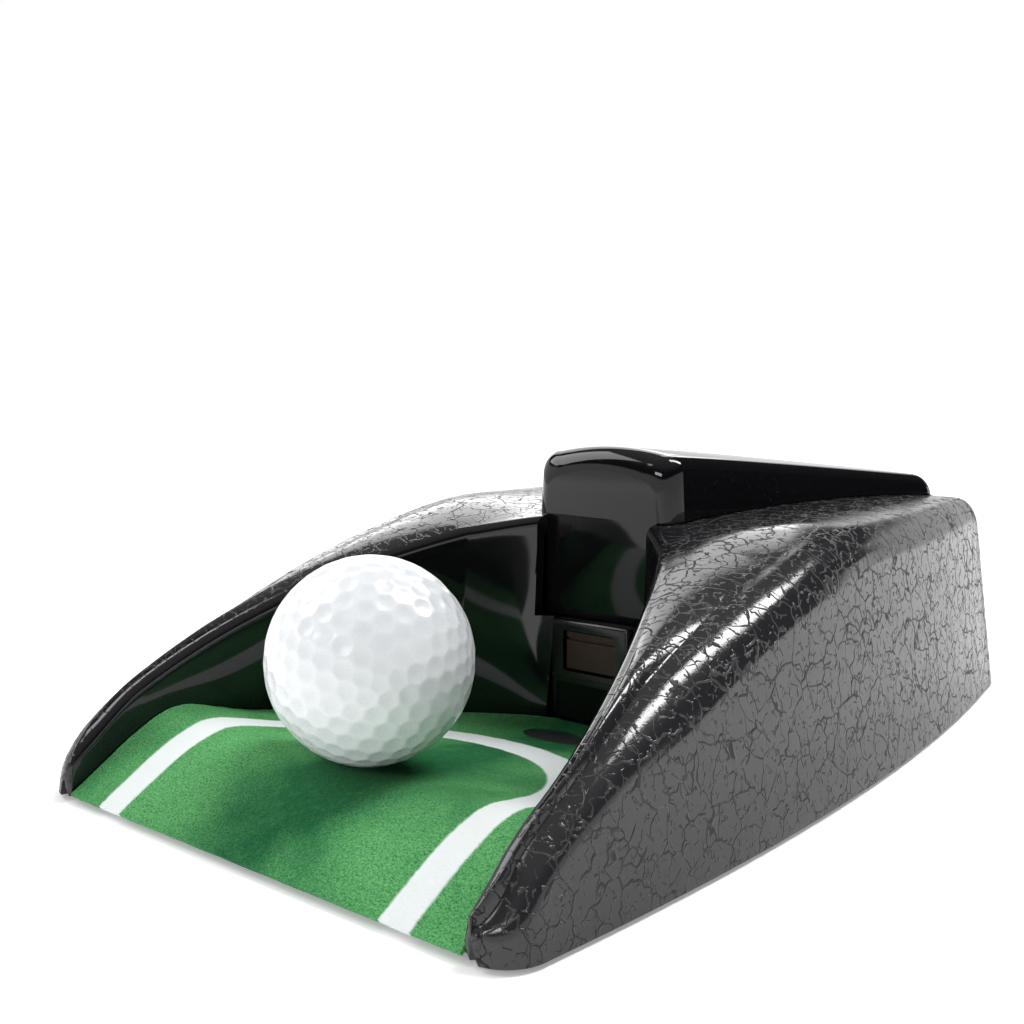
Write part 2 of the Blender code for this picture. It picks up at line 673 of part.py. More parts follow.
def make_base_tray():
    """The underside moulding: floor, hollow felt ramp, battery bay, screw seats and trigger ears."""
    outer = outer_line()
    inward = plan_normals(outer)
    inset = WALL + 0.6
    edge = [(x + n[0] * inset, d + n[1] * inset) for (x, d), n in zip(outer, inward)][7:]
    mouth_x = MOUTH_WIDTH / 2 - GAP
    front = [(mouth_x, 2.4), (mouth_x, edge[0][1] - 4.0), (edge[0][0] - 1.0, edge[0][1] - 1.0)]
    half = front + edge
    outline = half + [(-x, d) for x, d in half[::-1] if x > 0.0]
    tray = prism("base_tray", outline, (BASE_LEVEL, TRAY_TOP), "tray_abs")
    drop = MAT_THICK + GAP
    ramp_depths = [RAMP_FRONT] + [depth for depth in mat_depths() if RAMP_FRONT < depth < RAMP_END]
    weld(tray, lane_form("ramp", ramp_depths, GAP, drop, BASE_LEVEL))
    hollow_depths = [HOLLOW_FRONT] + [depth for depth in mat_depths() if HOLLOW_FRONT < depth < HOLLOW_END]
    under = lane_form("ramp_hollow", hollow_depths, GAP + RAMP_WALL, drop + RAMP_WALL, -CUT)
    for i, x in enumerate((-RIB_X, RIB_X)):
        cut(
            under, box(f"rib_{i}", (x - RIB_THICK / 2, x + RIB_THICK / 2), (0.0, LANE_DEPTH), (-2 * CUT, CUT))
        )
    cut(tray, under)
    bay_half = CELL_LENGTH / 2 + BAY_END_SPACE
    bay_end = BAY_FRONT + CELL_COUNT * CELL_PITCH - 0.2
    bay_top = BASE_LEVEL + 2 * CELL_RADIUS + 3.4
    wall_half = bay_half + BAY_WALL
    bay = box(
        "bay_block", (-wall_half, wall_half), (BAY_FRONT - BAY_WALL, bay_end + BAY_WALL),
        (BASE_LEVEL, bay_top + BAY_WALL)
    )
    weld(tray, bay)
    cut(tray, box("bay_hollow", (-bay_half, bay_half), (BAY_FRONT, bay_end), (-CUT, bay_top)))
    ear_x = LEVER_WIDTH / 2 + 0.6
    for i, side in enumerate((-1, 1)):
        span = sorted((side * ear_x, side * (ear_x + 2.6)))
        ear = box(
            f"ear_{i}", span, (TRIGGER_PIVOT_DEPTH - 2.2, TRIGGER_PIVOT_DEPTH + 2.2),
            (TRAY_TOP - 0.6, TRIGGER_PIVOT_LEVEL + 2.2)
        )
        weld(tray, ear)
    bore = TRIGGER_PIN_RADIUS + RUNNING_CLEARANCE
    cut(tray, cross_rod("ear_bore", TRIGGER_PIVOT_DEPTH, TRIGGER_PIVOT_LEVEL, (-CUT, CUT), bore))
    slot = LEVER_WIDTH / 2 + 0.5
    cut(tray, box("lever_slot", (-slot, slot), (HOLE_DEPTH, 122.0), (-CUT, TRAY_TOP + 0.2)))
    hole = [(HOLE_HALF_WIDTH * cos(a), HOLE_DEPTH + HOLE_HALF_LENGTH * sin(a)) for a in ellipse_angles()]
    cut(tray, prism("tray_hole", hole, (-CUT, CUT)))
    for i, (x, depth, _) in enumerate(boss_places()):
        weld(
            tray,
            upright_rod(
                f"seat_{i}", x, depth, (BASE_LEVEL + 0.5, TRAY_TOP + SEAT_TOP), BOSS_RADIUS + 0.4, count=20
            )
        )
        head = SCREW_HEAD_RADIUS + GAP
        cut(tray, upright_rod(f"counterbore_{i}", x, depth, (-CUT, BASE_LEVEL + HEAD_POCKET), head, count=16))
        cut(tray, upright_rod(f"clearance_{i}", x, depth, (-CUT, CUT), SCREW_SHANK_RADIUS + GAP, count=12))


def ellipse_angles(count=28):
    return [2 * pi * i / count for i in range(count)]


def make_putting_mat():
    """The felt on the ramp, cut to the lane, with the trigger's hole."""
    depths = mat_depths()
    depths += [102.0, 105.0, LANE_DEPTH - 1.6]
    rings = []
    for depth in depths:
        half = min(lane_half_width(depth + 0.2), MOUTH_WIDTH / 2) - GAP
        top = mat_top(depth)
        ring = [(-half, top - MAT_THICK), (half, top - MAT_THICK), (half, top), (-half, top)]
        rings.append([place(x, depth, z) for x, z in ring])
    mat = add_object("putting_mat", join_rings("putting_mat", rings), "felt")
    hole = [(HOLE_HALF_WIDTH * cos(a), HOLE_DEPTH + HOLE_HALF_LENGTH * sin(a)) for a in ellipse_angles()]
    cut(mat, prism("mat_hole", hole, (-CUT, CUT)))
    half = PANEL_WIDTH / 2 + 2.0
    cut(mat, box("mat_back_trim", (-half, half), (PANEL_DEPTH - GAP, LANE_DEPTH + CUT), (-CUT, CUT)))


def make_golf_ball():
    """A standard ball, resting at the top of the mat's straight slope."""
    tilt = atan(MAT_SLOPE)
    mesh = bpy.data.meshes.new("golf_ball")
    shape = bmesh.new()
    bmesh.ops.create_icosphere(shape, subdivisions=4, radius=BALL_RADIUS * MM)
    shape.to_mesh(mesh)
    shape.free()
    ball = add_object("golf_ball", mesh, "ball_white")
    reach = BALL_RADIUS + GAP
    contact = mat_top(BALL_CONTACT_DEPTH)
    ball.location = place(0.0, BALL_CONTACT_DEPTH + reach * sin(tilt), contact + reach * cos(tilt))


# ---------------------------------------------------------------- kicker drive


def ram_span():
    front = PANEL_DEPTH + RAM_RECESS
    return front, front + RAM_LENGTH


def cam_centre():
    """Depth and level of the cam gear's axle."""
    depth = PANEL_DEPTH + CAM_AHEAD
    guide_top = WINDOW_TOP + GUIDE_WALL
    return depth, guide_top + 1.1 + MODULE * (CAM_TEETH / 2 + 1.0)


def idler_centre():
    depth, level = cam_centre()
    spread = MODULE * (CAM_TEETH + IDLER_SMALL_TEETH) / 2 + MESH_EASE
    return depth + spread, level


def pinion_centre():
    depth, level = idler_centre()
    spread = MODULE * (IDLER_LARGE_TEETH + PINION_TEETH) / 2 + MESH_EASE
    return depth + spread * cos(MOTOR_ANGLE), level + spread * sin(MOTOR_ANGLE)


def gear_outline(centre, teeth, facing, gap_faces):
    """Side outline of a spur gear. facing is the direction of its mate, met by a gap or a tooth."""
    pitch = MODULE * teeth / 2
    tip = pitch + 0.85 * MODULE
    root = pitch - 1.15 * MODULE
    step = 2 * pi / teeth
    start = facing + (step / 2 if gap_faces else 0.0)
    outline = []
    for i in range(teeth):
        middle = start + i * step
        for offset, radius in (
            (-0.30, root), (-0.215, pitch), (-0.10, tip), (0.10, tip), (0.215, pitch), (0.30, root)
        ):
            angle = middle + offset * step
            outline.append((centre[0] + radius * cos(angle), centre[1] + radius * sin(angle)))
    return outline


def make_gears():
    """Cam gear, idler and motor pinion, in mesh at rest."""
    cam = cam_centre()
    idler = idler_centre()
    pinion = pinion_centre()
    bore = AXLE_RADIUS + RUNNING_CLEARANCE
    plane = (CAM_PLANE, CAM_PLANE + GEAR_THICK)
    cam_gear = side_prism("cam_gear", gear_outline(cam, CAM_TEETH, 0.0, True), plane, "acetal")
    pin_level = cam[1] + PIN_ORBIT
    cam_pin = cross_rod("cam_pin", cam[0], pin_level, (-1.4, plane[0] + 1.0), PIN_RADIUS, count=16)
    hub = cross_rod("cam_hub", cam[0], cam[1], (-3.2, plane[0] + 1.0), 3.4, count=20)
    weld(cam_gear, cam_pin, hub)
    cut(cam_gear, cross_rod("cam_bore", *cam, (-CUT, CUT), bore))
    small = gear_outline(idler, IDLER_SMALL_TEETH, pi, False)
    large_plane = (plane[1] + GEAR_SPACE, plane[1] + GEAR_SPACE + LARGE_THICK)
    idler_gear = side_prism("idler_gear", small, (plane[0] + 0.2, plane[1] + GEAR_SPACE + 1.0), "acetal")
    large = side_prism("idler_wheel", gear_outline(idler, IDLER_LARGE_TEETH, MOTOR_ANGLE, True), large_plane)
    weld(idler_gear, large)
    cut(idler_gear, cross_rod("idler_bore", *idler, (-CUT, CUT), bore))
    pinion_outline = gear_outline(pinion, PINION_TEETH, MOTOR_ANGLE + pi, False)
    motor_pinion = side_prism("motor_pinion", pinion_outline, large_plane, "steel")
    cut(
        motor_pinion,
        cross_rod("pinion_bore", *pinion, (-CUT, CUT), SHAFT_RADIUS + RUNNING_CLEARANCE, count=16)
    )
    pivot_at(cam_gear, 0.0, *cam)
    pivot_at(idler_gear, 0.0, *idler)
    pivot_at(motor_pinion, 0.0, *pinion)


def make_gear_frame():
    """The two side plates, the two fixed axles and the motor."""
    cam = cam_centre()
    idler = idler_centre()
    pinion = pinion_centre()
    foot = WINDOW_TOP + GUIDE_WALL + GAP
    right_face = CAM_PLANE + GEAR_THICK + GEAR_SPACE + LARGE_THICK + 1.4
    motor_low = pinion[1] - MOTOR_RADIUS - 0.4
    guide_end = GUIDE_FRONT + GUIDE_LENGTH
    right_outline = [
        (cam[0] - 10.0, foot),
        (guide_end + 1.0, foot),
        (guide_end + 1.0, motor_low),
        (pinion[0] + MOTOR_RADIUS + 0.4, motor_low),
        (pinion[0] + MOTOR_RADIUS + 0.4, pinion[1] + 8.0),
        (idler[0] + 7.0, idler[1] + 8.0),
        (cam[0] - 3.0, cam[1] + 8.0),
        (cam[0] - 10.0, cam[1]),
    ]
    left_outline = [
        (cam[0] - 10.0, foot),
        (idler[0] + 1.5, foot),
        (idler[0] + 7.0, idler[1]),
        (idler[0] + 3.0, idler[1] + 8.0),
        (cam[0] - 3.0, cam[1] + 8.0),
        (cam[0] - 10.0, cam[1]),
    ]
    left = side_prism("gear_plate_left", left_outline, (-6.0, -6.0 + PLATE_THICK), "tray_abs")
    right = side_prism("gear_plate_right", right_outline, (right_face, right_face + PLATE_THICK), "tray_abs")
    hole = AXLE_RADIUS + RUNNING_CLEARANCE
    for name, centre in (("cam", cam), ("idler", idler)):
        for plate in (left, right):
            cut(plate, cross_rod(f"{name}_hole_{plate.name}", *centre, (-CUT, CUT), hole))
        cross_rod(f"{name}_axle", *centre, (-7.0, right_face + PLATE_THICK + 1.0), AXLE_RADIUS, "steel")
    cut(right, cross_rod("shaft_hole", *pinion, (-CUT, CUT), 3.3, count=16))
    can_start = right_face + PLATE_THICK + GAP
    motor = cross_rod(
        "kick_motor", *pinion, (can_start, can_start + MOTOR_LENGTH), MOTOR_RADIUS, "steel", count=32
    )
    weld(motor, cross_rod("motor_nose", *pinion, (right_face + 0.5, can_start + 1.0), 3.0, count=16))
    weld(
        motor,
        cross_rod("motor_cap", *pinion, (can_start + 20.0, can_start + MOTOR_LENGTH + 1.2), 4.0, count=16)
    )
    shaft_end = can_start + 6.0
    bearing = SHAFT_RADIUS + RUNNING_CLEARANCE
    cut(motor, cross_rod("motor_bearing", *pinion, (0.0, shaft_end + GAP), bearing, count=16))
    shaft_start = CAM_PLANE + GEAR_THICK + 0.4
    shaft = cross_rod("motor_shaft", *pinion, (shaft_start, shaft_end), SHAFT_RADIUS, "steel", count=16)
    pivot_at(shaft, 0.0, *pinion)


def make_kicker():
    """The ram that strikes the ball, the guide it slides in and its return spring."""
    front, back = ram_span()
    half = WINDOW_WIDTH / 2 - RAM_CLEARANCE
    low = WINDOW_BOTTOM + RAM_CLEARANCE
    high = WINDOW_TOP - RAM_CLEARANCE
    ram = box("kicker_ram", (-half, half), (front, back), (low, high), "red_abs")
    cam = cam_centre()
    tab_top = cam[1] - PIN_ORBIT - PIN_RADIUS - 0.4
    tab_half = TAB_WIDTH / 2
    tab = box("ram_tab", (-tab_half, tab_half), (back - TAB_LENGTH - 1.0, back - 1.0), (high - 1.0, tab_top))
    groove = box("ram_groove", (-CUT, CUT), (front - CUT, front + 0.8), (high - 2.2, high - 1.4))
    weld(ram, tab)
    cut(ram, groove)
    guide_end = GUIDE_FRONT + GUIDE_LENGTH
    bore_half = WINDOW_WIDTH / 2
    left = -bore_half - GUIDE_WALL - 0.6
    right = CAM_PLANE + GEAR_THICK + GEAR_SPACE + LARGE_THICK + 1.4 + PLATE_THICK + 0.4
    guide_low = WINDOW_BOTTOM - GUIDE_WALL
    guide_high = WINDOW_TOP + GUIDE_WALL
    guide = box("kicker_guide", (left, right), (GUIDE_FRONT, guide_end), (guide_low, guide_high), "tray_abs")
    leg_front = SWITCH_BUTTON_DEPTH + 12.0
    for i, span in enumerate(((left, left + GUIDE_LEG), (right - GUIDE_LEG, right))):
        weld(guide, box(f"guide_leg_{i}", span, (leg_front, guide_end), (TRAY_TOP + GAP, guide_low + 1.0)))
    tunnel = box(
        "guide_tunnel", (-bore_half, bore_half), (GUIDE_FRONT - CUT, guide_end - GUIDE_WALL),
        (WINDOW_BOTTOM, WINDOW_TOP)
    )
    slot_half = tab_half + RAM_CLEARANCE
    slot_front = back - TAB_LENGTH - 1.0 - RAM_KICK_STROKE - 1.0
    slot_back = back - 1.0 + RAM_BACK_STROKE + 1.0
    slot = box(
        "guide_slot", (-slot_half, slot_half), (slot_front, slot_back), (WINDOW_TOP - 2.0, guide_high + CUT)
    )
    lightening = box(
        "guide_pocket", (bore_half + 2.2, right - 2.0), (GUIDE_FRONT + 3.0, guide_end - 3.0),
        (-CUT, guide_high - 1.8)
    )
    cut(guide, tunnel, slot, lightening)
    spring_level = (WINDOW_BOTTOM + WINDOW_TOP) / 2
    spring = make_spring("kicker_spring", SPRING_RADIUS, SPRING_WIRE, SPRING_TURNS)
    start = place(0.0, back + GAP + SPRING_WIRE, spring_level)
    run = guide_end - GUIDE_WALL - GAP - SPRING_WIRE - (back + GAP + SPRING_WIRE)
    shape_spring(spring, start, Vector((0.0, 1.0, 0.0)), run, SPRING_RADIUS, SPRING_TURNS)
    pivot_at(ram, 0.0, front, spring_level)


def make_spring(name, radius, wire, turns):
    """An empty bevelled curve for a coil spring."""
    curve = bpy.data.curves.new(name, "CURVE")
    curve.dimensions = "3D"
    curve.bevel_depth = wire * MM
    curve.bevel_resolution = 0
    curve.use_fill_caps = True
    curve.splines.new("POLY")
    curve.materials.append(finish("steel"))
    spring = bpy.data.objects.new(name, curve)
    bpy.context.scene.collection.objects.link(spring)
    return spring


def shape_spring(spring, start, axis, run, radius, turns, steps=11):
    """Wind the spring's line from start along axis."""
    count = turns * steps + 1
    side = Vector((1.0, 0.0, 0.0))
    other = axis.cross(side)
    line = spring.data.splines[0]
    line.points.add(count - 1)
    for i in range(count):
        angle = 2 * pi * i / steps
        share = i / (count - 1)
        point = start + axis * run * share * MM
        point = point + (side * cos(angle) + other * sin(angle)) * radius * MM
        line.points[i].co = (*point, 1.0)


def make_trigger():
    """The rocking lever under the mat, its pin and spring, and the switch that it presses."""
    half = LEVER_WIDTH / 2
    bottom = BASE_LEVEL + 0.3
    paddle_half = (HOLE_HALF_WIDTH - 0.6, HOLE_HALF_LENGTH - 0.6)
    outline = [(paddle_half[0] * cos(a), HOLE_DEPTH + paddle_half[1] * sin(a)) for a in ellipse_angles()]
    lever = prism("trigger_lever", outline, (bottom, MAT_REAR_TOP - 0.3), "tray_abs")
    arm = box("lever_arm", (-half, half), (HOLE_DEPTH, TRIGGER_PIVOT_DEPTH + 2.0), (bottom, TRAY_TOP))
    block_span = (TRIGGER_PIVOT_DEPTH - 1.8, TRIGGER_PIVOT_DEPTH + 2.2)
    block = box("lever_block", (-half, half), block_span, (bottom, LEVER_TAIL_TOP))
    tail_end = SWITCH_BUTTON_DEPTH + 2.0
    tail = box(
        "lever_tail", (-half, half), (TRIGGER_PIVOT_DEPTH, tail_end), (LEVER_TAIL_TOP - 1.4, LEVER_TAIL_TOP)
    )
    weld(lever, arm, block, tail)
    bore = TRIGGER_PIN_RADIUS + RUNNING_CLEARANCE
    cut(lever, cross_rod("lever_bore", TRIGGER_PIVOT_DEPTH, TRIGGER_PIVOT_LEVEL, (-CUT, CUT), bore))
    pin_half = half + 0.6 + 2.6
    cross_rod(
        "trigger_pin", TRIGGER_PIVOT_DEPTH, TRIGGER_PIVOT_LEVEL, (-pin_half, pin_half), TRIGGER_PIN_RADIUS,
        "steel"
    )
    guide_low = WINDOW_BOTTOM - GUIDE_WALL
    wire = 0.3
    spring = make_spring("trigger_spring", 1.4, wire, 5)
    spring_depth = GUIDE_FRONT + 2.1
    start = place(0.0, spring_depth, LEVER_TAIL_TOP + GAP + wire)
    run = guide_low - GAP - wire - (LEVER_TAIL_TOP + GAP + wire)
    shape_spring(spring, start, Vector((0.0, 0.0, 1.0)), run, 1.4, 5)
    body_low = guide_low - GAP - 6.5
    body_span = (SWITCH_BUTTON_DEPTH - 3.2, SWITCH_BUTTON_DEPTH + 9.6)
    body = box("micro_switch", (-2.9, 2.9), body_span, (body_low, guide_low - GAP), "tray_abs")
    button_half = 1.0
    pocket_half = button_half + 0.3
    pocket_span = (SWITCH_BUTTON_DEPTH - pocket_half, SWITCH_BUTTON_DEPTH + pocket_half)
    cut(body, box("switch_pocket", (-pocket_half, pocket_half), pocket_span, (-CUT, body_low + 2.8)))
    button_span = (SWITCH_BUTTON_DEPTH - button_half, SWITCH_BUTTON_DEPTH + button_half)
    button = box(
        "switch_button", (-button_half, button_half), button_span, (LEVER_TAIL_TOP + GAP, body_low + 1.0),
        "red_abs"
    )
    pivot_at(lever, 0.0, TRIGGER_PIVOT_DEPTH, TRIGGER_PIVOT_LEVEL)
    pivot_at(button, 0.0, SWITCH_BUTTON_DEPTH, LEVER_TAIL_TOP + GAP)


# ---------------------------------------------------------------- power and fittings


def make_cells():
    """The cells in their bay, alternately turned, with a contact strip at each end and the door."""
    level = TRAY_TOP + GAP + CELL_RADIUS
    end = CELL_LENGTH / 2
    for i in range(CELL_COUNT):
        depth = BAY_FRONT + CELL_PITCH * (i + 0.5) - 0.1
        turn = 1 if i % 2 == 0 else -1
        body_span = sorted((-turn * end, turn * (end - CELL_NUB)))
        nub_span = sorted((turn * (end - CELL_NUB - 1.0), turn * end))
        cell = cross_rod(f"battery_{i + 1}", depth, level, body_span, CELL_RADIUS, "cell_jacket")
        weld(cell, cross_rod(f"cell_nub_{i}", depth, level, nub_span, 2.75, count=12))
    bay_end = BAY_FRONT + CELL_COUNT * CELL_PITCH - 0.2
    for name, side in (("contact_strip_left", -1), ("contact_strip_right", 1)):
        span = sorted((side * (end + GAP), side * (end + GAP + 0.5)))
        box(name, span, (BAY_FRONT + 1.0, bay_end - 1.0), (level - 5.5, level + 6.0), "steel")
    bay_half = end + BAY_END_SPACE
    door = box(
        "battery_door", (-bay_half + GAP, bay_half - GAP), (BAY_FRONT + GAP, bay_end - GAP),
        (BASE_LEVEL, TRAY_TOP), "tray_abs"
    )
    middle = (BAY_FRONT + bay_end) / 2
    for i in range(4):
        x = -6.0 + 4.0 * i
        cut(
            door,
            box(
                f"door_groove_{i}", (x - 0.8, x + 0.8), (middle - 9.0, middle + 9.0), (-CUT, BASE_LEVEL + 0.5)
            )
        )
    pivot_at(door, 0.0, middle, BASE_LEVEL)


def make_dc_jack():
    """The adapter's socket in the rear wall."""
    wall = rear_depth(JACK_X)
    inner = rear_depth(abs(JACK_X) + 6.0) - WALL - 2.4
    body = box(
        "dc_jack", (JACK_X - 6.0, JACK_X + 6.0), (inner - 11.0, inner), (TRAY_TOP + GAP, JACK_LEVEL + 6.0),
        "tray_abs"
    )
    weld(body, long_rod("jack_nose", JACK_X, JACK_LEVEL, (inner - 2.0, wall - 1.2), JACK_NOSE_RADIUS))
    cut(body, long_rod("jack_socket", JACK_X, JACK_LEVEL, (inner - 7.0, wall + CUT), JACK_SOCKET_RADIUS))


def make_fasteners():
    """Base screws in their counterbores, and the rubber feet."""
    for i, (x, depth, _) in enumerate(boss_places()):
        head_low = BASE_LEVEL + 0.2
        head_high = BASE_LEVEL + HEAD_POCKET - 0.1
        screw = upright_rod(
            f"base_screw_{i + 1}", x, depth, (head_low, head_high), SCREW_HEAD_RADIUS, "steel", 16
        )
        weld(
            screw,
            upright_rod(
                f"screw_shank_{i}", x, depth, (head_high - 0.5, SCREW_TOP), SCREW_SHANK_RADIUS, count=12
            )
        )
        slot = box(
            f"screw_slot_{i}", (x - 1.6, x + 1.6), (depth - 0.35, depth + 0.35), (-CUT, head_low + 0.6)
        )
        cross = box(
            f"screw_cross_{i}", (x - 0.35, x + 0.35), (depth - 1.6, depth + 1.6), (-CUT, head_low + 0.6)
        )
        cut(screw, slot, cross)
    for i, (x, depth) in enumerate(foot_places()):
        upright_rod(f"rubber_foot_{i + 1}", x, depth, (0.0, FOOT_PROUD), FOOT_RADIUS, "rubber")


def main():
    for obj in list(bpy.data.objects):
        bpy.data.objects.remove(obj)
    make_outer_shell()
    make_hood_cover()
    make_kicker_panel()
    make_base_tray()
    make_putting_mat()
    make_golf_ball()
    make_gears()
    make_gear_frame()
    make_kicker()
    make_trigger()
    make_cells()
    make_dc_jack()
    make_fasteners()
    for obj in bpy.context.scene.collection.objects:
        if obj.type == "MESH" and not obj.hide_render:
            smooth(obj)


main()
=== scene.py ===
"""Looks of the automatic putting cup: crackle shell, gloss hood, felt ramp, dimpled ball and fittings.

Every size in the classes below is in millimetres. A depth is measured backwards from the felt's front edge,
and the open mouth of the lane faces -Y.
"""

import json
import logging
from dataclasses import dataclass, field
from enum import Enum
from math import cos, hypot, pi, radians, sin, sqrt, tan

import bmesh
import bpy
import numpy as np
from mathutils import Euler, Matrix, Vector, kdtree, noise
from mathutils.bvhtree import BVHTree


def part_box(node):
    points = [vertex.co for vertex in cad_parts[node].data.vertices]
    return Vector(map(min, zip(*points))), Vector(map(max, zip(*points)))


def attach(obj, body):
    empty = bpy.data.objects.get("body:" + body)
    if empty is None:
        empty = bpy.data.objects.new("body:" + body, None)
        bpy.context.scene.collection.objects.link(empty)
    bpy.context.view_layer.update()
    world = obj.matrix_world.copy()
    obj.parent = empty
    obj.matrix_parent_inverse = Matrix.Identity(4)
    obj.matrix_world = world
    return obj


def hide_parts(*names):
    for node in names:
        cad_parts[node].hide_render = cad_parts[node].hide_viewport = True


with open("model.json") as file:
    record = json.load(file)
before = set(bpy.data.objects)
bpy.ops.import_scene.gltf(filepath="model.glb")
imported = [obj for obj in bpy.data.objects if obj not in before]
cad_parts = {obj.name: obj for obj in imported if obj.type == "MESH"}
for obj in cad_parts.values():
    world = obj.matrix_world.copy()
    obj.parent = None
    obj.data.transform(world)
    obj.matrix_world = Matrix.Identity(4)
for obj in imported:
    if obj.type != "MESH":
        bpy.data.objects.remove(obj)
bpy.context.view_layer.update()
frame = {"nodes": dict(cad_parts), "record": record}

logging.basicConfig(level=logging.INFO, format="%(message)s")
log = logging.getLogger("putting_cup")

MM = 0.001
PER_METRE = 1000.0
LENGTH = PER_METRE * (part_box("outer_shell")[1][1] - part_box("putting_mat")[0][1])
FRONT_Y = PER_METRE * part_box("putting_mat")[0][1]


MIX_SHARE, MIX_FIRST, MIX_SECOND, MIX_COLOUR = 0, 6, 7, 2


class Grain(Enum):
    """How fine a moulded black surface is."""

    FINE = 0.25
    MEDIUM = 0.45
    COARSE = 0.8


# ------------------------------------------------------------------ modelling helpers


def node_box(node: str) -> tuple[Vector, Vector]:
    """The lowest and highest corner of a CAD node, in millimetres.

    Args:
        node: Name of the CAD node.

    Returns:
        Two vectors.
    """
    low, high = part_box(node)
    return Vector(low) * PER_METRE, Vector(high) * PER_METRE


def deselect_all() -> None:
    """Leave object mode with nothing selected."""
    if bpy.context.mode != "OBJECT":
        bpy.ops.object.mode_set(mode="OBJECT")
    bpy.ops.object.select_all(action="DESELECT")


def pick(obj: bpy.types.Object) -> None:
    """Make one object the only selected and the active one.

    Args:
        obj: The object.
    """
    deselect_all()
    obj.select_set(True)
    bpy.context.view_layer.objects.active = obj


def apply_modifier(obj: bpy.types.Object, kind: str, **settings: object) -> None:
    """Add a modifier, set it up and apply it.

    Args:
        obj: The object to change.
        kind: The modifier's type name.
        settings: Values for the modifier's properties.
    """
    pick(obj)
    modifier = obj.modifiers.new(kind.lower(), kind)
    for name, value in settings.items():
        setattr(modifier, name, value)
    bpy.ops.object.modifier_apply(modifier=modifier.name)


def cut_away(obj: bpy.types.Object, cutter: bpy.types.Object) -> None:
    """Subtract one object from another and remove the cutter.

    Args:
        obj: The object to cut.
        cutter: The closed solid to take away.
    """
    apply_modifier(obj, "BOOLEAN", operation="DIFFERENCE", object=cutter)
    bpy.data.objects.remove(cutter)


def shade(obj: bpy.types.Object, angle: float = 40.0) -> None:
    """Shade an object smooth, with corners over an angle kept sharp.

    Args:
        obj: The object.
        angle: The least angle of a sharp edge, in degrees.
    """
    pick(obj)
    bpy.ops.object.shade_smooth_by_angle(angle=radians(angle))


def settle(obj: bpy.types.Object) -> None:
    """Apply an object's place, turn and size to its mesh.

    Args:
        obj: The object.
    """
    pick(obj)
    bpy.ops.object.transform_apply(location=True, rotation=True, scale=True)


def block(name: str, low: tuple, high: tuple, edge: float = 0.0, segments: int = 3) -> bpy.types.Object:
    """A box with rounded edges between two corners.

    Args:
        name: Name of the new object.
        low: Lowest x, y and z in millimetres.
        high: Highest x, y and z in millimetres.
        edge: Radius of the rounded edges.
        segments: Facets across each rounded edge.

    Returns:
        The new object.
    """
    deselect_all()
    middle = [(a + b) / 2 * MM for a, b in zip(low, high)]
    bpy.ops.mesh.primitive_cube_add(size=1.0, location=middle)
    obj = bpy.context.object
    obj.name = name
    obj.scale = [(b - a) * MM for a, b in zip(low, high)]
    settle(obj)
    if edge > 0.0:
        apply_modifier(obj, "BEVEL", width=edge * MM, segments=segments, limit_method="ANGLE")
    return obj


def rod(name: str, centre: tuple, radius: float, length: float, axis: str = "Z", sides: int = 48,
        edge: float = 0.0) -> bpy.types.Object:
    """A round bar with rounded ends.

    Args:
        name: Name of the new object.
        centre: Its middle, in millimetres.
        radius: Its radius.
        length: Its length.
        axis: The row axis that it lies along.
        sides: Facets round it.
        edge: Radius of the rounding at its ends.

    Returns:
        The new object.
    """
    deselect_all()
    turn = {"X": (0.0, pi / 2, 0.0), "Y": (pi / 2, 0.0, 0.0), "Z": (0.0, 0.0, 0.0)}[axis]
    bpy.ops.mesh.primitive_cylinder_add(vertices=sides, radius=radius * MM, depth=length * MM,
                                        location=[value * MM for value in centre], rotation=turn)
    obj = bpy.context.object
    obj.name = name
    settle(obj)
    if edge > 0.0:
        apply_modifier(obj, "BEVEL", width=edge * MM, segments=3, limit_method="ANGLE",
                       angle_limit=radians(40))
    return obj


def lengthwise_edges(edit: bmesh.types.BMesh) -> None:
    """Select only the edges that run along Z.

    Args:
        edit: The mesh in edit mode.
    """
    for face in edit.faces:
        face.select_set(False)
    for edge in edit.edges:
        run = edge.verts[0].co - edge.verts[1].co
        edge.select_set(hypot(run.x, run.y) < abs(run.z) * 0.01)


def read_points(obj: bpy.types.Object) -> np.ndarray:
    """Where an object's vertices are.

    Args:
        obj: The object.

    Returns:
        x, y and z of each vertex, in metres.
    """
    points = np.empty(len(obj.data.vertices) * 3)
    obj.data.vertices.foreach_get("co", points)
    return points.reshape(-1, 3)


def write_points(obj: bpy.types.Object, points: np.ndarray) -> None:
    """Take an object's vertices to new places.

    Args:
        obj: The object.
        points: x, y and z of each vertex, in metres.
    """
    obj.data.vertices.foreach_set("co", points.reshape(-1))
    obj.data.update()


def point_tree(points: np.ndarray) -> kdtree.KDTree:
    """A search tree for the nearest of many points.

    Args:
        points: The points.

    Returns:
        The tree.
    """
    tree = kdtree.KDTree(len(points))
    for index, point in enumerate(points):
        tree.insert(point, index)
    tree.balance()
    return tree


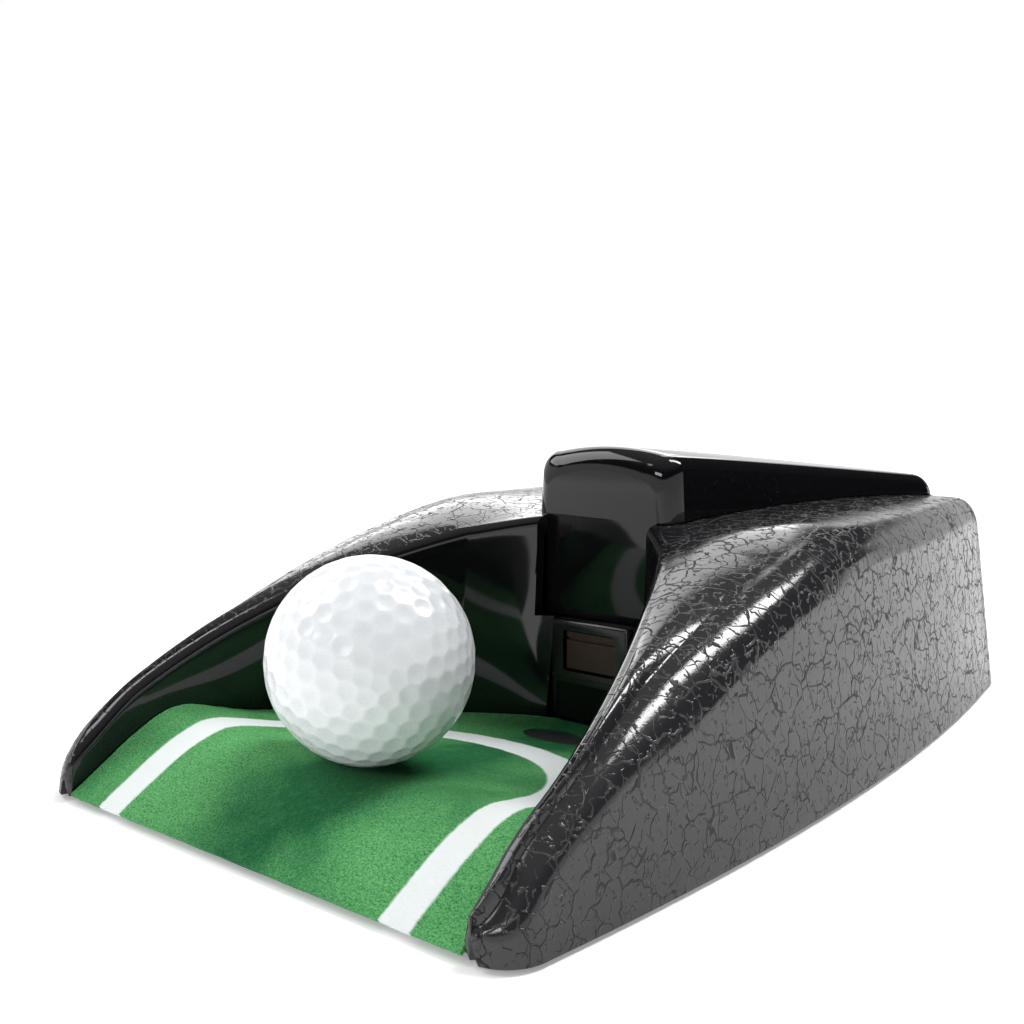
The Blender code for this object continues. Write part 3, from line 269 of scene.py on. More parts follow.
def lofted_tube(name: str, rings: np.ndarray, first_cuts: int) -> bpy.types.Object:
    """A closed tube through rings of points: a cylinder cut lengthwise, with each vertex taken to its place.

    Args:
        name: Name of the new object.
        rings: Points in millimetres, as (ring, point on the ring, x y z).
        first_cuts: A divisor of the number of gaps between the rings.

    Returns:
        The new object.
    """
    gaps = rings.shape[0] - 1
    around = rings.shape[1]
    deselect_all()
    bpy.ops.mesh.primitive_cylinder_add(vertices=around, radius=1.0, depth=2.0, end_fill_type="NGON")
    obj = bpy.context.object
    obj.name = name
    bpy.ops.object.mode_set(mode="EDIT")
    bpy.ops.mesh.select_mode(type="EDGE")
    for cuts in (first_cuts - 1, gaps // first_cuts - 1):
        edit = bmesh.from_edit_mesh(obj.data)
        lengthwise_edges(edit)
        bmesh.update_edit_mesh(obj.data)
        if cuts > 0:
            bpy.ops.mesh.subdivide(number_cuts=cuts)
    bpy.ops.object.mode_set(mode="OBJECT")
    points = read_points(obj)
    ring = np.rint((points[:, 2] + 1.0) / 2.0 * gaps).astype(int)
    column = np.rint(np.arctan2(points[:, 0], points[:, 1]) * around / (2 * pi)).astype(int) % around
    write_points(obj, rings[ring, column] * MM)
    return obj


def lofted_sheet(name: str, rows: np.ndarray) -> bpy.types.Object:
    """An open sheet through rows of points: a grid with each vertex taken to its place.

    Args:
        name: Name of the new object.
        rows: Points in millimetres, as (row, point on the row, x y z).

    Returns:
        The new object.
    """
    count, across = rows.shape[:2]
    deselect_all()
    bpy.ops.mesh.primitive_grid_add(x_subdivisions=across - 1, y_subdivisions=count - 1, size=2.0)
    obj = bpy.context.object
    obj.name = name
    points = read_points(obj)
    row = np.rint((points[:, 1] + 1.0) / 2.0 * (count - 1)).astype(int)
    column = np.rint((points[:, 0] + 1.0) / 2.0 * (across - 1)).astype(int)
    write_points(obj, rows[row, column] * MM)
    return obj


def face_out(obj: bpy.types.Object) -> None:
    """Turn a closed mesh's faces outwards.

    Args:
        obj: The object.
    """
    pick(obj)
    bpy.ops.object.mode_set(mode="EDIT")
    bpy.ops.mesh.select_all(action="SELECT")
    bpy.ops.mesh.normals_make_consistent(inside=False)
    bpy.ops.object.mode_set(mode="OBJECT")


def dress(obj: bpy.types.Object, material: bpy.types.Material) -> None:
    """Give an object one material.

    Args:
        obj: The object.
        material: The material.
    """
    obj.data.materials.clear()
    obj.data.materials.append(material)


def install(obj: bpy.types.Object, material: bpy.types.Material, body: str, slot: str, *nodes: str) -> None:
    """Dress a finished piece and put it on its body in place of its CAD nodes.

    Args:
        obj: The finished piece.
        material: Its material.
        body: The CAD body that it rides on.
        slot: The record's slot for its finish; not used.
        nodes: The CAD nodes that it stands for.
    """
    dress(obj, material)
    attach(obj, body)
    if nodes:
        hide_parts(*nodes)
    log.info("%s: %d faces on %s", obj.name, len(obj.data.polygons), body)


# ------------------------------------------------------------------ finishes


class NodeKit:
    """A short way to wire a material's nodes."""

    def __init__(self, name: str) -> None:
        """Start a material with one Principled shader.

        Args:
            name: Name of the material.
        """
        self.material = bpy.data.materials.new(name)
        self.material.use_nodes = True
        self.tree = self.material.node_tree
        self.shader = self.tree.nodes["Principled BSDF"]
        self.place = self.add("ShaderNodeTexCoord").outputs["Object"]

    def add(self, kind: str, **settings: object) -> bpy.types.Node:
        """A new node with its properties set.

        Args:
            kind: The node's type name.
            settings: Values for its properties.

        Returns:
            The node.
        """
        node = self.tree.nodes.new(kind)
        for name, value in settings.items():
            setattr(node, name, value)
        return node

    def feed(self, socket: bpy.types.NodeSocket, source: object) -> None:
        """Link a socket to an output, or set its value.

        Args:
            socket: The input.
            source: An output, a number or a colour.
        """
        if isinstance(source, bpy.types.NodeSocket):
            self.tree.links.new(source, socket)
        else:
            socket.default_value = source

    def math(self, operation: str, first: object, second: object = 0.0, third: object = 0.0,
             clamp: bool = False) -> bpy.types.NodeSocket:
        """The result of one sum.

        Args:
            operation: The Math node's operation.
            first: Its first value.
            second: Its second value.
            third: Its third value.
            clamp: Whether the result is kept between 0 and 1.

        Returns:
            The result's output.
        """
        node = self.add("ShaderNodeMath", operation=operation, use_clamp=clamp)
        for socket, source in zip(node.inputs, (first, second, third)):
            self.feed(socket, source)
        return node.outputs[0]

    def noise(self, size: float, detail: float = 2.0, place: object = None, roughness: float = 0.5,
              distortion: float = 0.0) -> bpy.types.Node:
        """Noise with features of one size.

        Args:
            size: The features' size in millimetres.
            detail: Finer layers of it.
            place: The coordinates that it reads.
            roughness: How strong the finer layers are.
            distortion: How far it is warped.

        Returns:
            The noise node.
        """
        node = self.add("ShaderNodeTexNoise")
        self.feed(node.inputs["Vector"], place or self.place)
        node.inputs["Scale"].default_value = 1.0 / (size * MM)
        node.inputs["Detail"].default_value = detail
        node.inputs["Roughness"].default_value = roughness
        node.inputs["Distortion"].default_value = distortion
        return node

    def cells(self, size: float, feature: str, place: object = None) -> bpy.types.Node:
        """Irregular cells of one size.

        Args:
            size: The cells' size in millimetres.
            feature: What the Voronoi node measures.
            place: The coordinates that it reads.

        Returns:
            The Voronoi node.
        """
        node = self.add("ShaderNodeTexVoronoi", feature=feature)
        self.feed(node.inputs["Vector"], place or self.place)
        node.inputs["Scale"].default_value = 1.0 / (size * MM)
        return node

    def span(self, value: object, low: float, high: float, start: float = 0.0,
             end: float = 1.0) -> bpy.types.NodeSocket:
        """A value taken smoothly from one span to another.

        Args:
            value: The value.
            low: Where the span starts.
            high: Where it ends.
            start: The result at low.
            end: The result at high.

        Returns:
            The result's output.
        """
        node = self.add("ShaderNodeMapRange", interpolation_type="SMOOTHSTEP")
        for name, source in (("Value", value), ("From Min", low), ("From Max", high), ("To Min", start),
                             ("To Max", end)):
            self.feed(node.inputs[name], source)
        return node.outputs["Result"]

    def blend(self, share: object, first: object, second: object) -> bpy.types.NodeSocket:
        """A mix of two colours.

        Args:
            share: How much of the second there is.
            first: A colour or an output.
            second: A colour or an output.

        Returns:
            The colour's output.
        """
        node = self.add("ShaderNodeMix", data_type="RGBA")
        for socket, source in ((MIX_SHARE, share), (MIX_FIRST, first), (MIX_SECOND, second)):
            self.feed(node.inputs[socket], source)
        return node.outputs[MIX_COLOUR]

    def warp(self, size: float, amount: float) -> bpy.types.NodeSocket:
        """Object coordinates pushed about by noise.

        Args:
            size: The noise's size in millimetres.
            amount: How far it pushes, in millimetres.

        Returns:
            The coordinates' output.
        """
        centred = self.add("ShaderNodeVectorMath", operation="SUBTRACT")
        self.feed(centred.inputs[0], self.noise(size, 1.0).outputs["Color"])
        centred.inputs[1].default_value = (0.5, 0.5, 0.5)
        scaled = self.add("ShaderNodeVectorMath", operation="SCALE")
        self.feed(scaled.inputs[0], centred.outputs[0])
        scaled.inputs["Scale"].default_value = amount * MM * 2.0
        moved = self.add("ShaderNodeVectorMath", operation="ADD")
        self.feed(moved.inputs[0], self.place)
        self.feed(moved.inputs[1], scaled.outputs[0])
        return moved.outputs[0]

    def bump(self, height: object, depth: float, strength: object = 1.0,
             under: object = None) -> bpy.types.NodeSocket:
        """A bumped normal.

        Args:
            height: The height, from 0 to 1.
            depth: What a height of 1 stands for, in millimetres.
            strength: How much of it shows.
            under: A normal to start from.

        Returns:
            The normal's output.
        """
        node = self.add("ShaderNodeBump")
        self.feed(node.inputs["Height"], height)
        self.feed(node.inputs["Strength"], strength)
        node.inputs["Distance"].default_value = depth * MM
        if under is not None:
            self.feed(node.inputs["Normal"], under)
        return node.outputs[0]

    def finish(self, **sockets: object) -> bpy.types.Material:
        """Feed the shader's sockets and hand over the material.

        Args:
            sockets: Sources by socket name, with _ for a space.

        Returns:
            The material.
        """
        for name, source in sockets.items():
            self.feed(self.shader.inputs[name.replace("_", " ")], source)
        return self.material


@dataclass(frozen=True)
class CrackleBlack:
    """Black ABS with a raised crackle of curved, broken wrinkles, smooth where the mould is polished; painted
    shade darkens the wrinkles.
    """

    colour: tuple = (0.020, 0.020, 0.022, 1.0)
    smooth_colour: tuple = (0.006, 0.006, 0.007, 1.0)
    cell: float = 6.6
    small_cell: float = 2.9
    line: float = 0.034
    small_line: float = 0.06
    ridge: float = 0.16
    matt: float = 0.65
    large_bend: float = 1.6
    large_cover: float = 0.36
    small_bend: float = 0.8
    small_cover: float = 0.47
    small_height: float = 0.75
    swell: tuple = (7.0, 0.20)
    sparkle: tuple = (0.45, 0.018)
    roughness: tuple = (0.05, 0.09)
    line_shade_colour: tuple = (0.012, 0.012, 0.013, 1.0)
    specular: float = 0.56

    def wrinkles(self, kit: NodeKit, cell: float, line: float, bend: float,
                 cover: float) -> bpy.types.NodeSocket:
        """Thin ridges along warped cell edges, broken up here and there.

        Args:
            kit: The material's nodes.
            cell: The cells' size.
            line: A ridge's half width, as a share of the cell.
            bend: How far the edges are bent.
            cover: The noise level above which a ridge shows.

        Returns:
            The ridges' height, from 0 to 1.
        """
        place = kit.warp(cell * 0.55, bend)
        edge = kit.cells(cell, "DISTANCE_TO_EDGE", place).outputs["Distance"]
        ridge = kit.span(edge, 0.0, line, 1.0, 0.0)
        shown = kit.span(kit.noise(cell * 0.62, 1.0).outputs["Fac"], cover, cover + 0.07)
        return kit.math("MULTIPLY", ridge, shown)

    def material(self) -> bpy.types.Material:
        """The finish as a material.

        Returns:
            The material.
        """
        kit = NodeKit("crackle_black")
        grain = kit.add("ShaderNodeAttribute", attribute_name="grain").outputs["Fac"]
        large = self.wrinkles(kit, self.cell, self.line, self.large_bend, self.large_cover)
        small = self.wrinkles(kit, self.small_cell, self.small_line, self.small_bend, self.small_cover)
        lines = kit.math("MAXIMUM", large, kit.math("MULTIPLY", small, self.small_height))
        lines = kit.math("MULTIPLY", lines, grain)
        swell_size, swell_depth = self.swell
        sparkle_size, sparkle_depth = self.sparkle
        sparkle = kit.noise(sparkle_size, 3.0, roughness=0.7).outputs["Fac"]
        swell = kit.noise(swell_size, 1.0).outputs["Fac"]
        base = kit.bump(swell, swell_depth, kit.math("MULTIPLY", grain, 0.5))
        fine = kit.bump(sparkle, sparkle_depth, kit.math("MULTIPLY", grain, 0.9), base)
        normal = kit.bump(lines, self.ridge, 1.0, fine)
        worn = kit.span(kit.noise(30.0, 3.0).outputs["Fac"], 0.35, 0.7)
        rough = kit.math("MULTIPLY_ADD", worn, 0.04, kit.span(grain, 0.0, 1.0, *self.roughness))
        rough = kit.math("MULTIPLY_ADD", lines, self.matt, rough)
        colour = kit.blend(grain, self.smooth_colour, self.colour)
        # Painted shade along the wrinkles: their colour is darkened where the lines are.
        colour = kit.blend(kit.math("MULTIPLY", lines, 0.5), colour, self.line_shade_colour)
        return kit.finish(Base_Color=colour, Roughness=rough, Normal=normal, Specular_IOR_Level=self.specular)


@dataclass(frozen=True)
class GlossBlack:
    """Polished black ABS with faint moulding ripples and handling dust."""

    colour: tuple = (0.004, 0.004, 0.005, 1.0)
    dust_colour: tuple = (0.08, 0.08, 0.08, 1.0)
    specular: float = 0.40

    def material(self) -> bpy.types.Material:
        """The finish as a material.

        Returns:
            The material.
        """
        kit = NodeKit("gloss_black")
        ripple = kit.bump(kit.noise(26.0, 1.0).outputs["Fac"], 0.10, 0.35)
        dust = kit.span(kit.noise(0.5, 1.0).outputs["Fac"], 0.74, 0.80)
        normal = kit.bump(dust, 0.02, 0.4, ripple)
        rough = kit.math("MULTIPLY_ADD", kit.noise(18.0, 3.0).outputs["Fac"], 0.05, 0.03)
        colour = kit.blend(kit.math("MULTIPLY", dust, 0.35), self.colour, self.dust_colour)
        return kit.finish(Base_Color=colour, Roughness=rough, Normal=normal, Specular_IOR_Level=self.specular)


@dataclass(frozen=True)
class MouldedPlastic:
    """Spark-grained moulded plastic of any colour."""

    name: str
    colour: tuple
    roughness: float = 0.5
    grain: Grain = Grain.MEDIUM
    mottle_shade: float = 0.72

    def material(self) -> bpy.types.Material:
        """The finish as a material.

        Returns:
            The material.
        """
        kit = NodeKit(self.name)
        grit = kit.noise(self.grain.value, 3.0, roughness=0.65).outputs["Fac"]
        mottle = kit.noise(14.0, 3.0).outputs["Fac"]
        shade_of = tuple(value * self.mottle_shade for value in self.colour[:3]) + (1.0,)
        colour = kit.blend(kit.span(mottle, 0.3, 0.75), shade_of, self.colour)
        rough = kit.math("MULTIPLY_ADD", grit, 0.16, self.roughness - 0.08)
        return kit.finish(Base_Color=colour, Roughness=rough, Normal=kit.bump(grit, 0.03, 0.6))


@dataclass(frozen=True)
class BrightSteel:
    """Drawn or plated steel with fine lines."""

    name: str
    colour: tuple = (0.62, 0.62, 0.64, 1.0)
    roughness: float = 0.26
    stretch: tuple = (0.06, 1.0, 1.0)
    stain_colour: tuple = (0.40, 0.38, 0.36, 1.0)

    def material(self) -> bpy.types.Material:
        """The finish as a material.

        Returns:
            The material.
        """
        kit = NodeKit(self.name)
        turned = kit.add("ShaderNodeMapping")
        kit.feed(turned.inputs["Vector"], kit.place)
        turned.inputs["Scale"].default_value = self.stretch
        lines = kit.noise(0.25, 3.0, turned.outputs[0], 0.7).outputs["Fac"]
        stain = kit.span(kit.noise(5.0, 3.0).outputs["Fac"], 0.45, 0.8)
        colour = kit.blend(kit.math("MULTIPLY", stain, 0.4), self.colour, self.stain_colour)
        rough = kit.math("MULTIPLY_ADD", lines, 0.2, self.roughness - 0.08)
        return kit.finish(Base_Color=colour, Roughness=rough, Metallic=1.0, Normal=kit.bump(lines, 0.01, 0.5))


@dataclass(frozen=True)
class BallCover:
    """White ball cover under a clear coat, with painted shade in its dimples: cooler and darker there."""

    colour: tuple = (0.86, 0.88, 0.90, 1.0)
    mottle_colour: tuple = (0.80, 0.83, 0.86, 1.0)
    dimple_shade_colour: tuple = (0.66, 0.74, 0.78, 1.0)
    dimple_shade: float = 0.22

    def material(self) -> bpy.types.Material:
        """The finish as a material.

        Returns:
            The material.
        """
        kit = NodeKit("ball_cover")
        mottle = kit.noise(6.0, 2.0).outputs["Fac"]
        dip = kit.add("ShaderNodeAttribute", attribute_name="dimple").outputs["Fac"]
        colour = kit.blend(kit.span(mottle, 0.3, 0.7, 0.0, 0.25), self.colour, self.mottle_colour)
        # Painted shade: the dimples are tinted cooler and darker by their depth.
        colour = kit.blend(kit.math("MULTIPLY", dip, self.dimple_shade), colour, self.dimple_shade_colour)
        fine = kit.noise(0.3, 2.0).outputs["Fac"]
        rough = kit.math("MULTIPLY_ADD", fine, 0.08, 0.24)
        return kit.finish(Base_Color=colour, Roughness=rough, Normal=kit.bump(fine, 0.006, 0.5),
                          Coat_Weight=0.5, Coat_Roughness=0.22, Subsurface_Weight=0.08,
                          Subsurface_Radius=(0.0012, 0.0012, 0.0014))


@dataclass(frozen=True)
class PuttingFelt:
    """Short green pile with a printed white U, patches brushed darker and painted shade down the middle of
    the lane.
    """

    light: tuple = (0.088, 0.37, 0.115, 1.0)
    dark: tuple = (0.0, 0.118, 0.034, 1.0)
    white: tuple = (0.84, 0.88, 0.88, 1.0)
    tip: tuple = (0.27, 0.60, 0.24, 1.0)
    root: tuple = (0.0, 0.07, 0.02, 1.0)
    clump: tuple = (0.16, 0.5, 0.16, 1.0)
    white_root: tuple = (0.5, 0.62, 0.55, 1.0)
    sheen_tint: tuple = (0.55, 0.95, 0.6, 1.0)
    trough_shade_half: float = 24.0
    trough_shade_strength: float = 0.8
    centre_depth: float = 25.0
    inner: tuple = (37.8, 48.0)
    outer: tuple = (45.0, 58.0)

    def oval(self, kit: NodeKit, x: object, y: object, half: tuple) -> bpy.types.NodeSocket:
        """How far a place is out from an oval's centre, 1 on its line.

        Args:
            kit: The material's nodes.
            x: The place across the mat, in metres.
            y: The place behind the oval's centre, in metres.
            half: The oval's two half lengths in millimetres.

        Returns:
            The measure's output.
        """
        across = kit.math("POWER", kit.math("DIVIDE", x, half[0] * MM), 2.0)
        along = kit.math("POWER", kit.math("DIVIDE", y, half[1] * MM), 2.0)
        return kit.math("SQRT", kit.math("ADD", across, along))

    def material(self) -> bpy.types.Material:
        """The finish as a material.

        Returns:
            The material.
        """
        kit = NodeKit("putting_felt")
        split = kit.add("ShaderNodeSeparateXYZ")
        kit.feed(split.inputs[0], kit.warp(0.9, 0.22))
        across = split.outputs["X"]
        behind = kit.math("SUBTRACT", split.outputs["Y"], (FRONT_Y + self.centre_depth) * MM)
        behind = kit.math("MAXIMUM", behind, 0.0)
        wide = kit.math("ABSOLUTE", across)
        out = kit.span(self.oval(kit, wide, behind, self.inner), 0.99, 1.01)
        inside = kit.span(self.oval(kit, wide, behind, self.outer), 0.99, 1.01, 1.0, 0.0)
        stripe = kit.math("MULTIPLY", out, inside)
        pile = kit.noise(0.38, 3.0, roughness=0.75).outputs["Fac"]
        clump = kit.noise(1.5, 3.0, roughness=0.6).outputs["Fac"]
        patch = kit.noise(26.0, 2.0, distortion=0.4).outputs["Fac"]
        # Painted shade: the felt is made darker down the middle of the lane, strongest at the centre line.
        middle_shade = kit.span(wide, 0.0, self.trough_shade_half * MM, 1.0, 0.0)
        patches = kit.span(patch, 0.38, 0.66, 0.0, 0.5)
        shade_and_patches = kit.math("MULTIPLY_ADD", middle_shade, self.trough_shade_strength, patches, clamp=True)
        green = kit.blend(shade_and_patches, self.light, self.dark)
        # Fewer light fibre tips show where the painted shade and the darker patches are.
        tip_share = kit.math("MULTIPLY_ADD", shade_and_patches, -0.45, 0.55)
        tips = kit.math("MULTIPLY", kit.span(pile, 0.46, 0.70), tip_share)
        green = kit.blend(tips, green, self.tip)
        green = kit.blend(kit.span(pile, 0.54, 0.30, 0.0, 0.85), green, self.root)
        green = kit.blend(kit.span(clump, 0.5, 0.8, 0.0, 0.15), green, self.clump)
        printed = kit.blend(kit.span(pile, 0.5, 0.25, 0.0, 0.22), self.white, self.white_root)
        colour = kit.blend(stripe, green, printed)
        fibres = kit.bump(pile, 0.32, 0.8, kit.bump(clump, 0.35, 0.5))
        return kit.finish(Base_Color=colour, Roughness=0.95, Normal=fibres, Sheen_Weight=0.10,
                          Sheen_Roughness=0.5, Sheen_Tint=self.sheen_tint, Specular_IOR_Level=0.2)


@dataclass(frozen=True)
class CellSleeve:
    """Plain dark shrink sleeve with a bright band at both ends."""

    sleeve: tuple = (0.02, 0.025, 0.03, 1.0)
    band: tuple = (0.45, 0.33, 0.16, 1.0)
    band_start: float = 15.8
    band_full: float = 16.0

    def material(self) -> bpy.types.Material:
        """The finish as a material.

        Returns:
            The material.
        """
        kit = NodeKit("cell_sleeve")
        split = kit.add("ShaderNodeSeparateXYZ")
        kit.feed(split.inputs[0], kit.place)
        band = kit.span(kit.math("ABSOLUTE", split.outputs["X"]), self.band_start * MM, self.band_full * MM)
        scuff = kit.noise(3.0, 4.0).outputs["Fac"]
        colour = kit.blend(band, self.sleeve, self.band)
        rough = kit.math("MULTIPLY_ADD", scuff, 0.2, 0.18)
        normal = kit.bump(scuff, 0.02, 0.4)
        return kit.finish(Base_Color=colour, Roughness=rough, Metallic=0.35, Normal=normal)


# ------------------------------------------------------------------ shell


@dataclass
class LaneForm:
    """The lane's plan and the felt's surface, which the shell and the mat share."""

    mouth_width: float = 112.8
    straight: float = 50.0
    depth: float = 110.0
    power: float = 1.8
    front_top: float = 1.9
    rear_top: float = 3.2
    crest_depth: float = 27.0
    crest_rise: float = 9.1
    ramp_power: float = 1.65
    bend: float = 4.7
    slope: float = 0.146
    foot_ease: float = 13.0

    def half_width(self, depth: np.ndarray) -> np.ndarray:
        """Half the lane's width at the foot of its wall.

        Args:
            depth: Depths.

        Returns:
            Half widths.
        """
        share = np.maximum(0.0, depth - self.straight) / (self.depth - self.straight)
        return self.mouth_width / 2 * np.maximum(0.0, 1.0 - share**self.power) ** (1 / self.power)

    def felt_top(self, depth: np.ndarray) -> np.ndarray:
        """Height of the felt: a ramp, a crest, a straight roll down and a flat.

        Args:
            depth: Depths.

        Returns:
            Heights.
        """
        depth = np.asarray(depth, float)
        crest = self.rear_top + self.crest_rise
        share = 1.0 - np.clip(depth, 0.0, self.crest_depth) / self.crest_depth
        ramp = crest - (crest - self.front_top) * share**self.ramp_power
        over = np.clip((depth - self.crest_depth) / self.bend, 0.0, 1.0)
        drop = self.slope * self.bend / 2
        start = self.crest_depth + self.bend
        end = start + (crest - drop - self.rear_top) / self.slope - self.foot_ease / 2
        left = np.clip(1.0 - (depth - end) / self.foot_ease, 0.0, 1.0)
        roll = crest - drop * over**2 - self.slope * np.clip(depth - start, 0.0, end - start)
        flat = self.rear_top + self.slope * self.foot_ease / 2 * left**2
        return np.where(depth <= self.crest_depth, ramp, np.where(depth <= end, roll, flat))


@dataclass
class Shell:
    """The textured horseshoe shell."""

    lane: LaneForm
    width: float = 143.2
    base: float = 0.9
    wall: float = 2.2
    widest: float = 95.0
    front_pinch: float = 5.6
    rear_pinch: float = 13.5
    rear_bulge: float = 5.0
    nose_radius: float = 8.5
    rear_corner: float = 11.0
    height: float = 56.3
    nose_height: float = 11.3
    full_depth: float = 138.0
    rise_power: float = 1.8
    nose_drop: float = 5.0
    nose_drop_depth: float = 18.0
    rear_fall: float = 1.2
    shoulder: float = 8.5
    draft: float = radians(7.0)
    rim_rise: float = 0.8
    crown: float = 1.6
    rim_radius: float = 2.6
    rim_straight: float = 18.0
    rim_power: float = 1.6
    rim_back: float = 118.0
    rim_end_gap: float = 6.0
    rim_end_half: float = 19.0
    fan_depth: float = 96.0
    fan_side: float = 6.0
    fan_corner: float = 10.0
    fan_all: float = 14.0
    nose_start_angle: float = radians(-80.0)
    nose_start_depth: float = 0.8
    nose_rim_ease: float = 0.4
    shoulder_share: float = 0.55
    shoulder_height_share: float = 0.6
    rim_share: float = 0.3
    crown_width: float = 12.0
    knee_rise: float = 1.5
    knee_share: float = 0.6
    lane_wall_power: float = 1.2
    plan_samples: tuple = (200, 900, 1400)
    wall_share: float = 0.3
    hollow_from: float = 0.45
    hollow_over: float = 0.2
    foot_floor: float = 2.4
    stations: int = 300
    cap_rings: int = 6
    cap_bulge: float = 0.9
    skin_counts: tuple = (30, 14, 26, 9, 24)
    lining_counts: tuple = (4, 3, 4, 1, 4)
    clearance: float = 0.3
    apron_half: float = 16.3
    notch_reach: float = 19.0
    notch_back: float = 2.0
    gear_front: float = 16.4
    gear_rear: float = 22.0
    gear_back: float = 65.0
    gear_floor: float = 44.3
    jack_level: float = 9.0
    jack_radius: float = 4.7
    jack_bore: float = 20.0
    rear_y: float = 119.0
    cut_over: float = 15.0
    cut_under: float = 5.0
    cut_overlap: float = 1.0
    top_tree: BVHTree = field(default=None)

    def side(self, depth: np.ndarray) -> np.ndarray:
        """Half the shell's width at the floor.

        Args:
            depth: Depths.

        Returns:
            Half widths.
        """
        front = np.maximum(0.0, self.widest - depth) / self.widest
        back = np.maximum(0.0, depth - self.widest) / (LENGTH - self.widest)
        return self.width / 2 - self.front_pinch * front**2 - self.rear_pinch * back**2

    def rear(self, x: np.ndarray) -> np.ndarray:
        """Depth of the bulged rear wall.

        Args:
            x: Places across the object.

        Returns:
            Depths.
        """
        return LENGTH - self.rear_bulge * (x / self.side(np.array(LENGTH))) ** 2

    def level(self, depth: np.ndarray) -> np.ndarray:
        """Height of the outer shoulder.

        Args:
            depth: Depths.

        Returns:
            Heights.
        """
        depth = np.maximum(depth, 0.0)
        share = np.maximum(0.0, 1.0 - depth / self.full_depth)
        tip = np.maximum(0.0, 1.0 - depth / self.nose_drop_depth)
        rear = np.maximum(0.0, depth - self.full_depth) / (LENGTH - self.full_depth)
        climb = (self.height - self.nose_height) * share**self.rise_power
        return self.height - climb - self.nose_drop * tip**2 - self.rear_fall * rear

    def rim_half(self, depth: np.ndarray) -> np.ndarray:
        """Half the lane's width between the rims.

        Args:
            depth: Depths.

        Returns:
            Half widths.
        """
        run = self.rim_back - self.rim_end_gap - self.rim_straight
        share = np.maximum(0.0, depth - self.rim_straight) / run
        mouth = self.lane.mouth_width / 2
        return mouth - (mouth - self.rim_end_half) * share**self.rim_power

    def plan(self, place: np.ndarray) -> tuple[np.ndarray, np.ndarray, np.ndarray]:
        """The right half's outer line, lane foot and rim at places along it.

        Args:
            place: 0 to 1 round the nose, to 2 along the side, to 3 round the rear to its middle.

        Returns:
            Three arrays of (x, depth).
        """
        nose = np.clip(place, 0.0, 1.0)
        angle = self.nose_start_angle * (1.0 - nose)
        centre = float(self.side(np.array(self.nose_radius))) - self.nose_radius
        nose_line = np.stack([centre + self.nose_radius * np.cos(angle),
                              self.nose_radius + self.nose_radius * np.sin(angle)], -1)
        along = self.nose_radius + (self.fan_depth - self.nose_radius) * np.clip(place - 1.0, 0.0, 1.0)
        side_line = np.stack([self.side(along), along], -1)
        corner_start = float(self.rear(self.side(np.array(LENGTH)))) - self.rear_corner
        corner_x = float(self.side(np.array(corner_start))) - self.rear_corner
        fan = np.clip(place - 2.0, 0.0, 1.0) * self.fan_all
        fan_depth = self.fan_depth + (corner_start - self.fan_depth) * np.clip(fan / self.fan_side, 0.0, 1.0)
        fan_line = np.stack([self.side(fan_depth), fan_depth], -1)
        round_corner = (fan - self.fan_side) / (self.fan_corner - self.fan_side)
        turn = pi / 2 * np.clip(round_corner, 0.0, 1.0)
        reach = float(self.rear(np.array(corner_x))) - corner_start
        corner_line = np.stack([corner_x + self.rear_corner * np.cos(turn),
                                corner_start + reach * np.sin(turn)], -1)
        past = (fan - self.fan_corner) / (self.fan_all - self.fan_corner)
        rear_x = corner_x * (1.0 - np.clip(past, 0.0, 1.0))
        rear_line = np.stack([rear_x, self.rear(rear_x)], -1)
        which = np.digitize(fan, [self.fan_side, self.fan_corner])[:, None]
        back_line = np.where(which == 0, fan_line, np.where(which == 1, corner_line, rear_line))
        part = place[:, None]
        outer = np.where(part < 1.0, nose_line, np.where(part < 2.0, side_line, back_line))
        front = self.nose_start_depth + (self.nose_radius - self.nose_start_depth) * nose
        depth = np.where(place < 1.0, front, along)
        foot = np.stack([self.lane.half_width(depth), depth], -1)
        ease = self.nose_rim_ease * (1.0 - nose)
        rim = np.stack([self.rim_half(depth) + ease, depth + ease], -1)
        share = fan / self.fan_all
        foot_x = float(self.lane.half_width(np.array(self.fan_depth))) * (1.0 - share)
        bulge = np.maximum(0.0, 1.0 - (2 * foot_x / self.lane.mouth_width) ** self.lane.power)
        round_end = (self.lane.depth - self.lane.straight) * bulge ** (1 / self.lane.power)
        foot_back = self.lane.straight + round_end
        rim_x = float(self.rim_half(np.array(self.fan_depth))) * (1.0 - share)
        rim_back = self.fan_depth + (self.rim_back - self.fan_depth) * np.sin(share * pi / 2)
        foot = np.where(part < 2.0, foot, np.stack([foot_x, foot_back], -1))
        rim = np.where(part < 2.0, rim, np.stack([rim_x, rim_back], -1))
        return outer, foot, rim

    def normals(self, line: np.ndarray) -> np.ndarray:
        """Unit normals to the left of a plan line.

        Args:
            line: Points (x, depth).

        Returns:
            Normals, with the last one straight along the depth.
        """
        run = np.gradient(line, axis=0)
        normal = np.stack([-run[:, 1], run[:, 0]], -1)
        normal /= np.linalg.norm(normal, axis=1)[:, None]
        normal[-1] = (0.0, np.sign(normal[-1, 1]))
        return normal

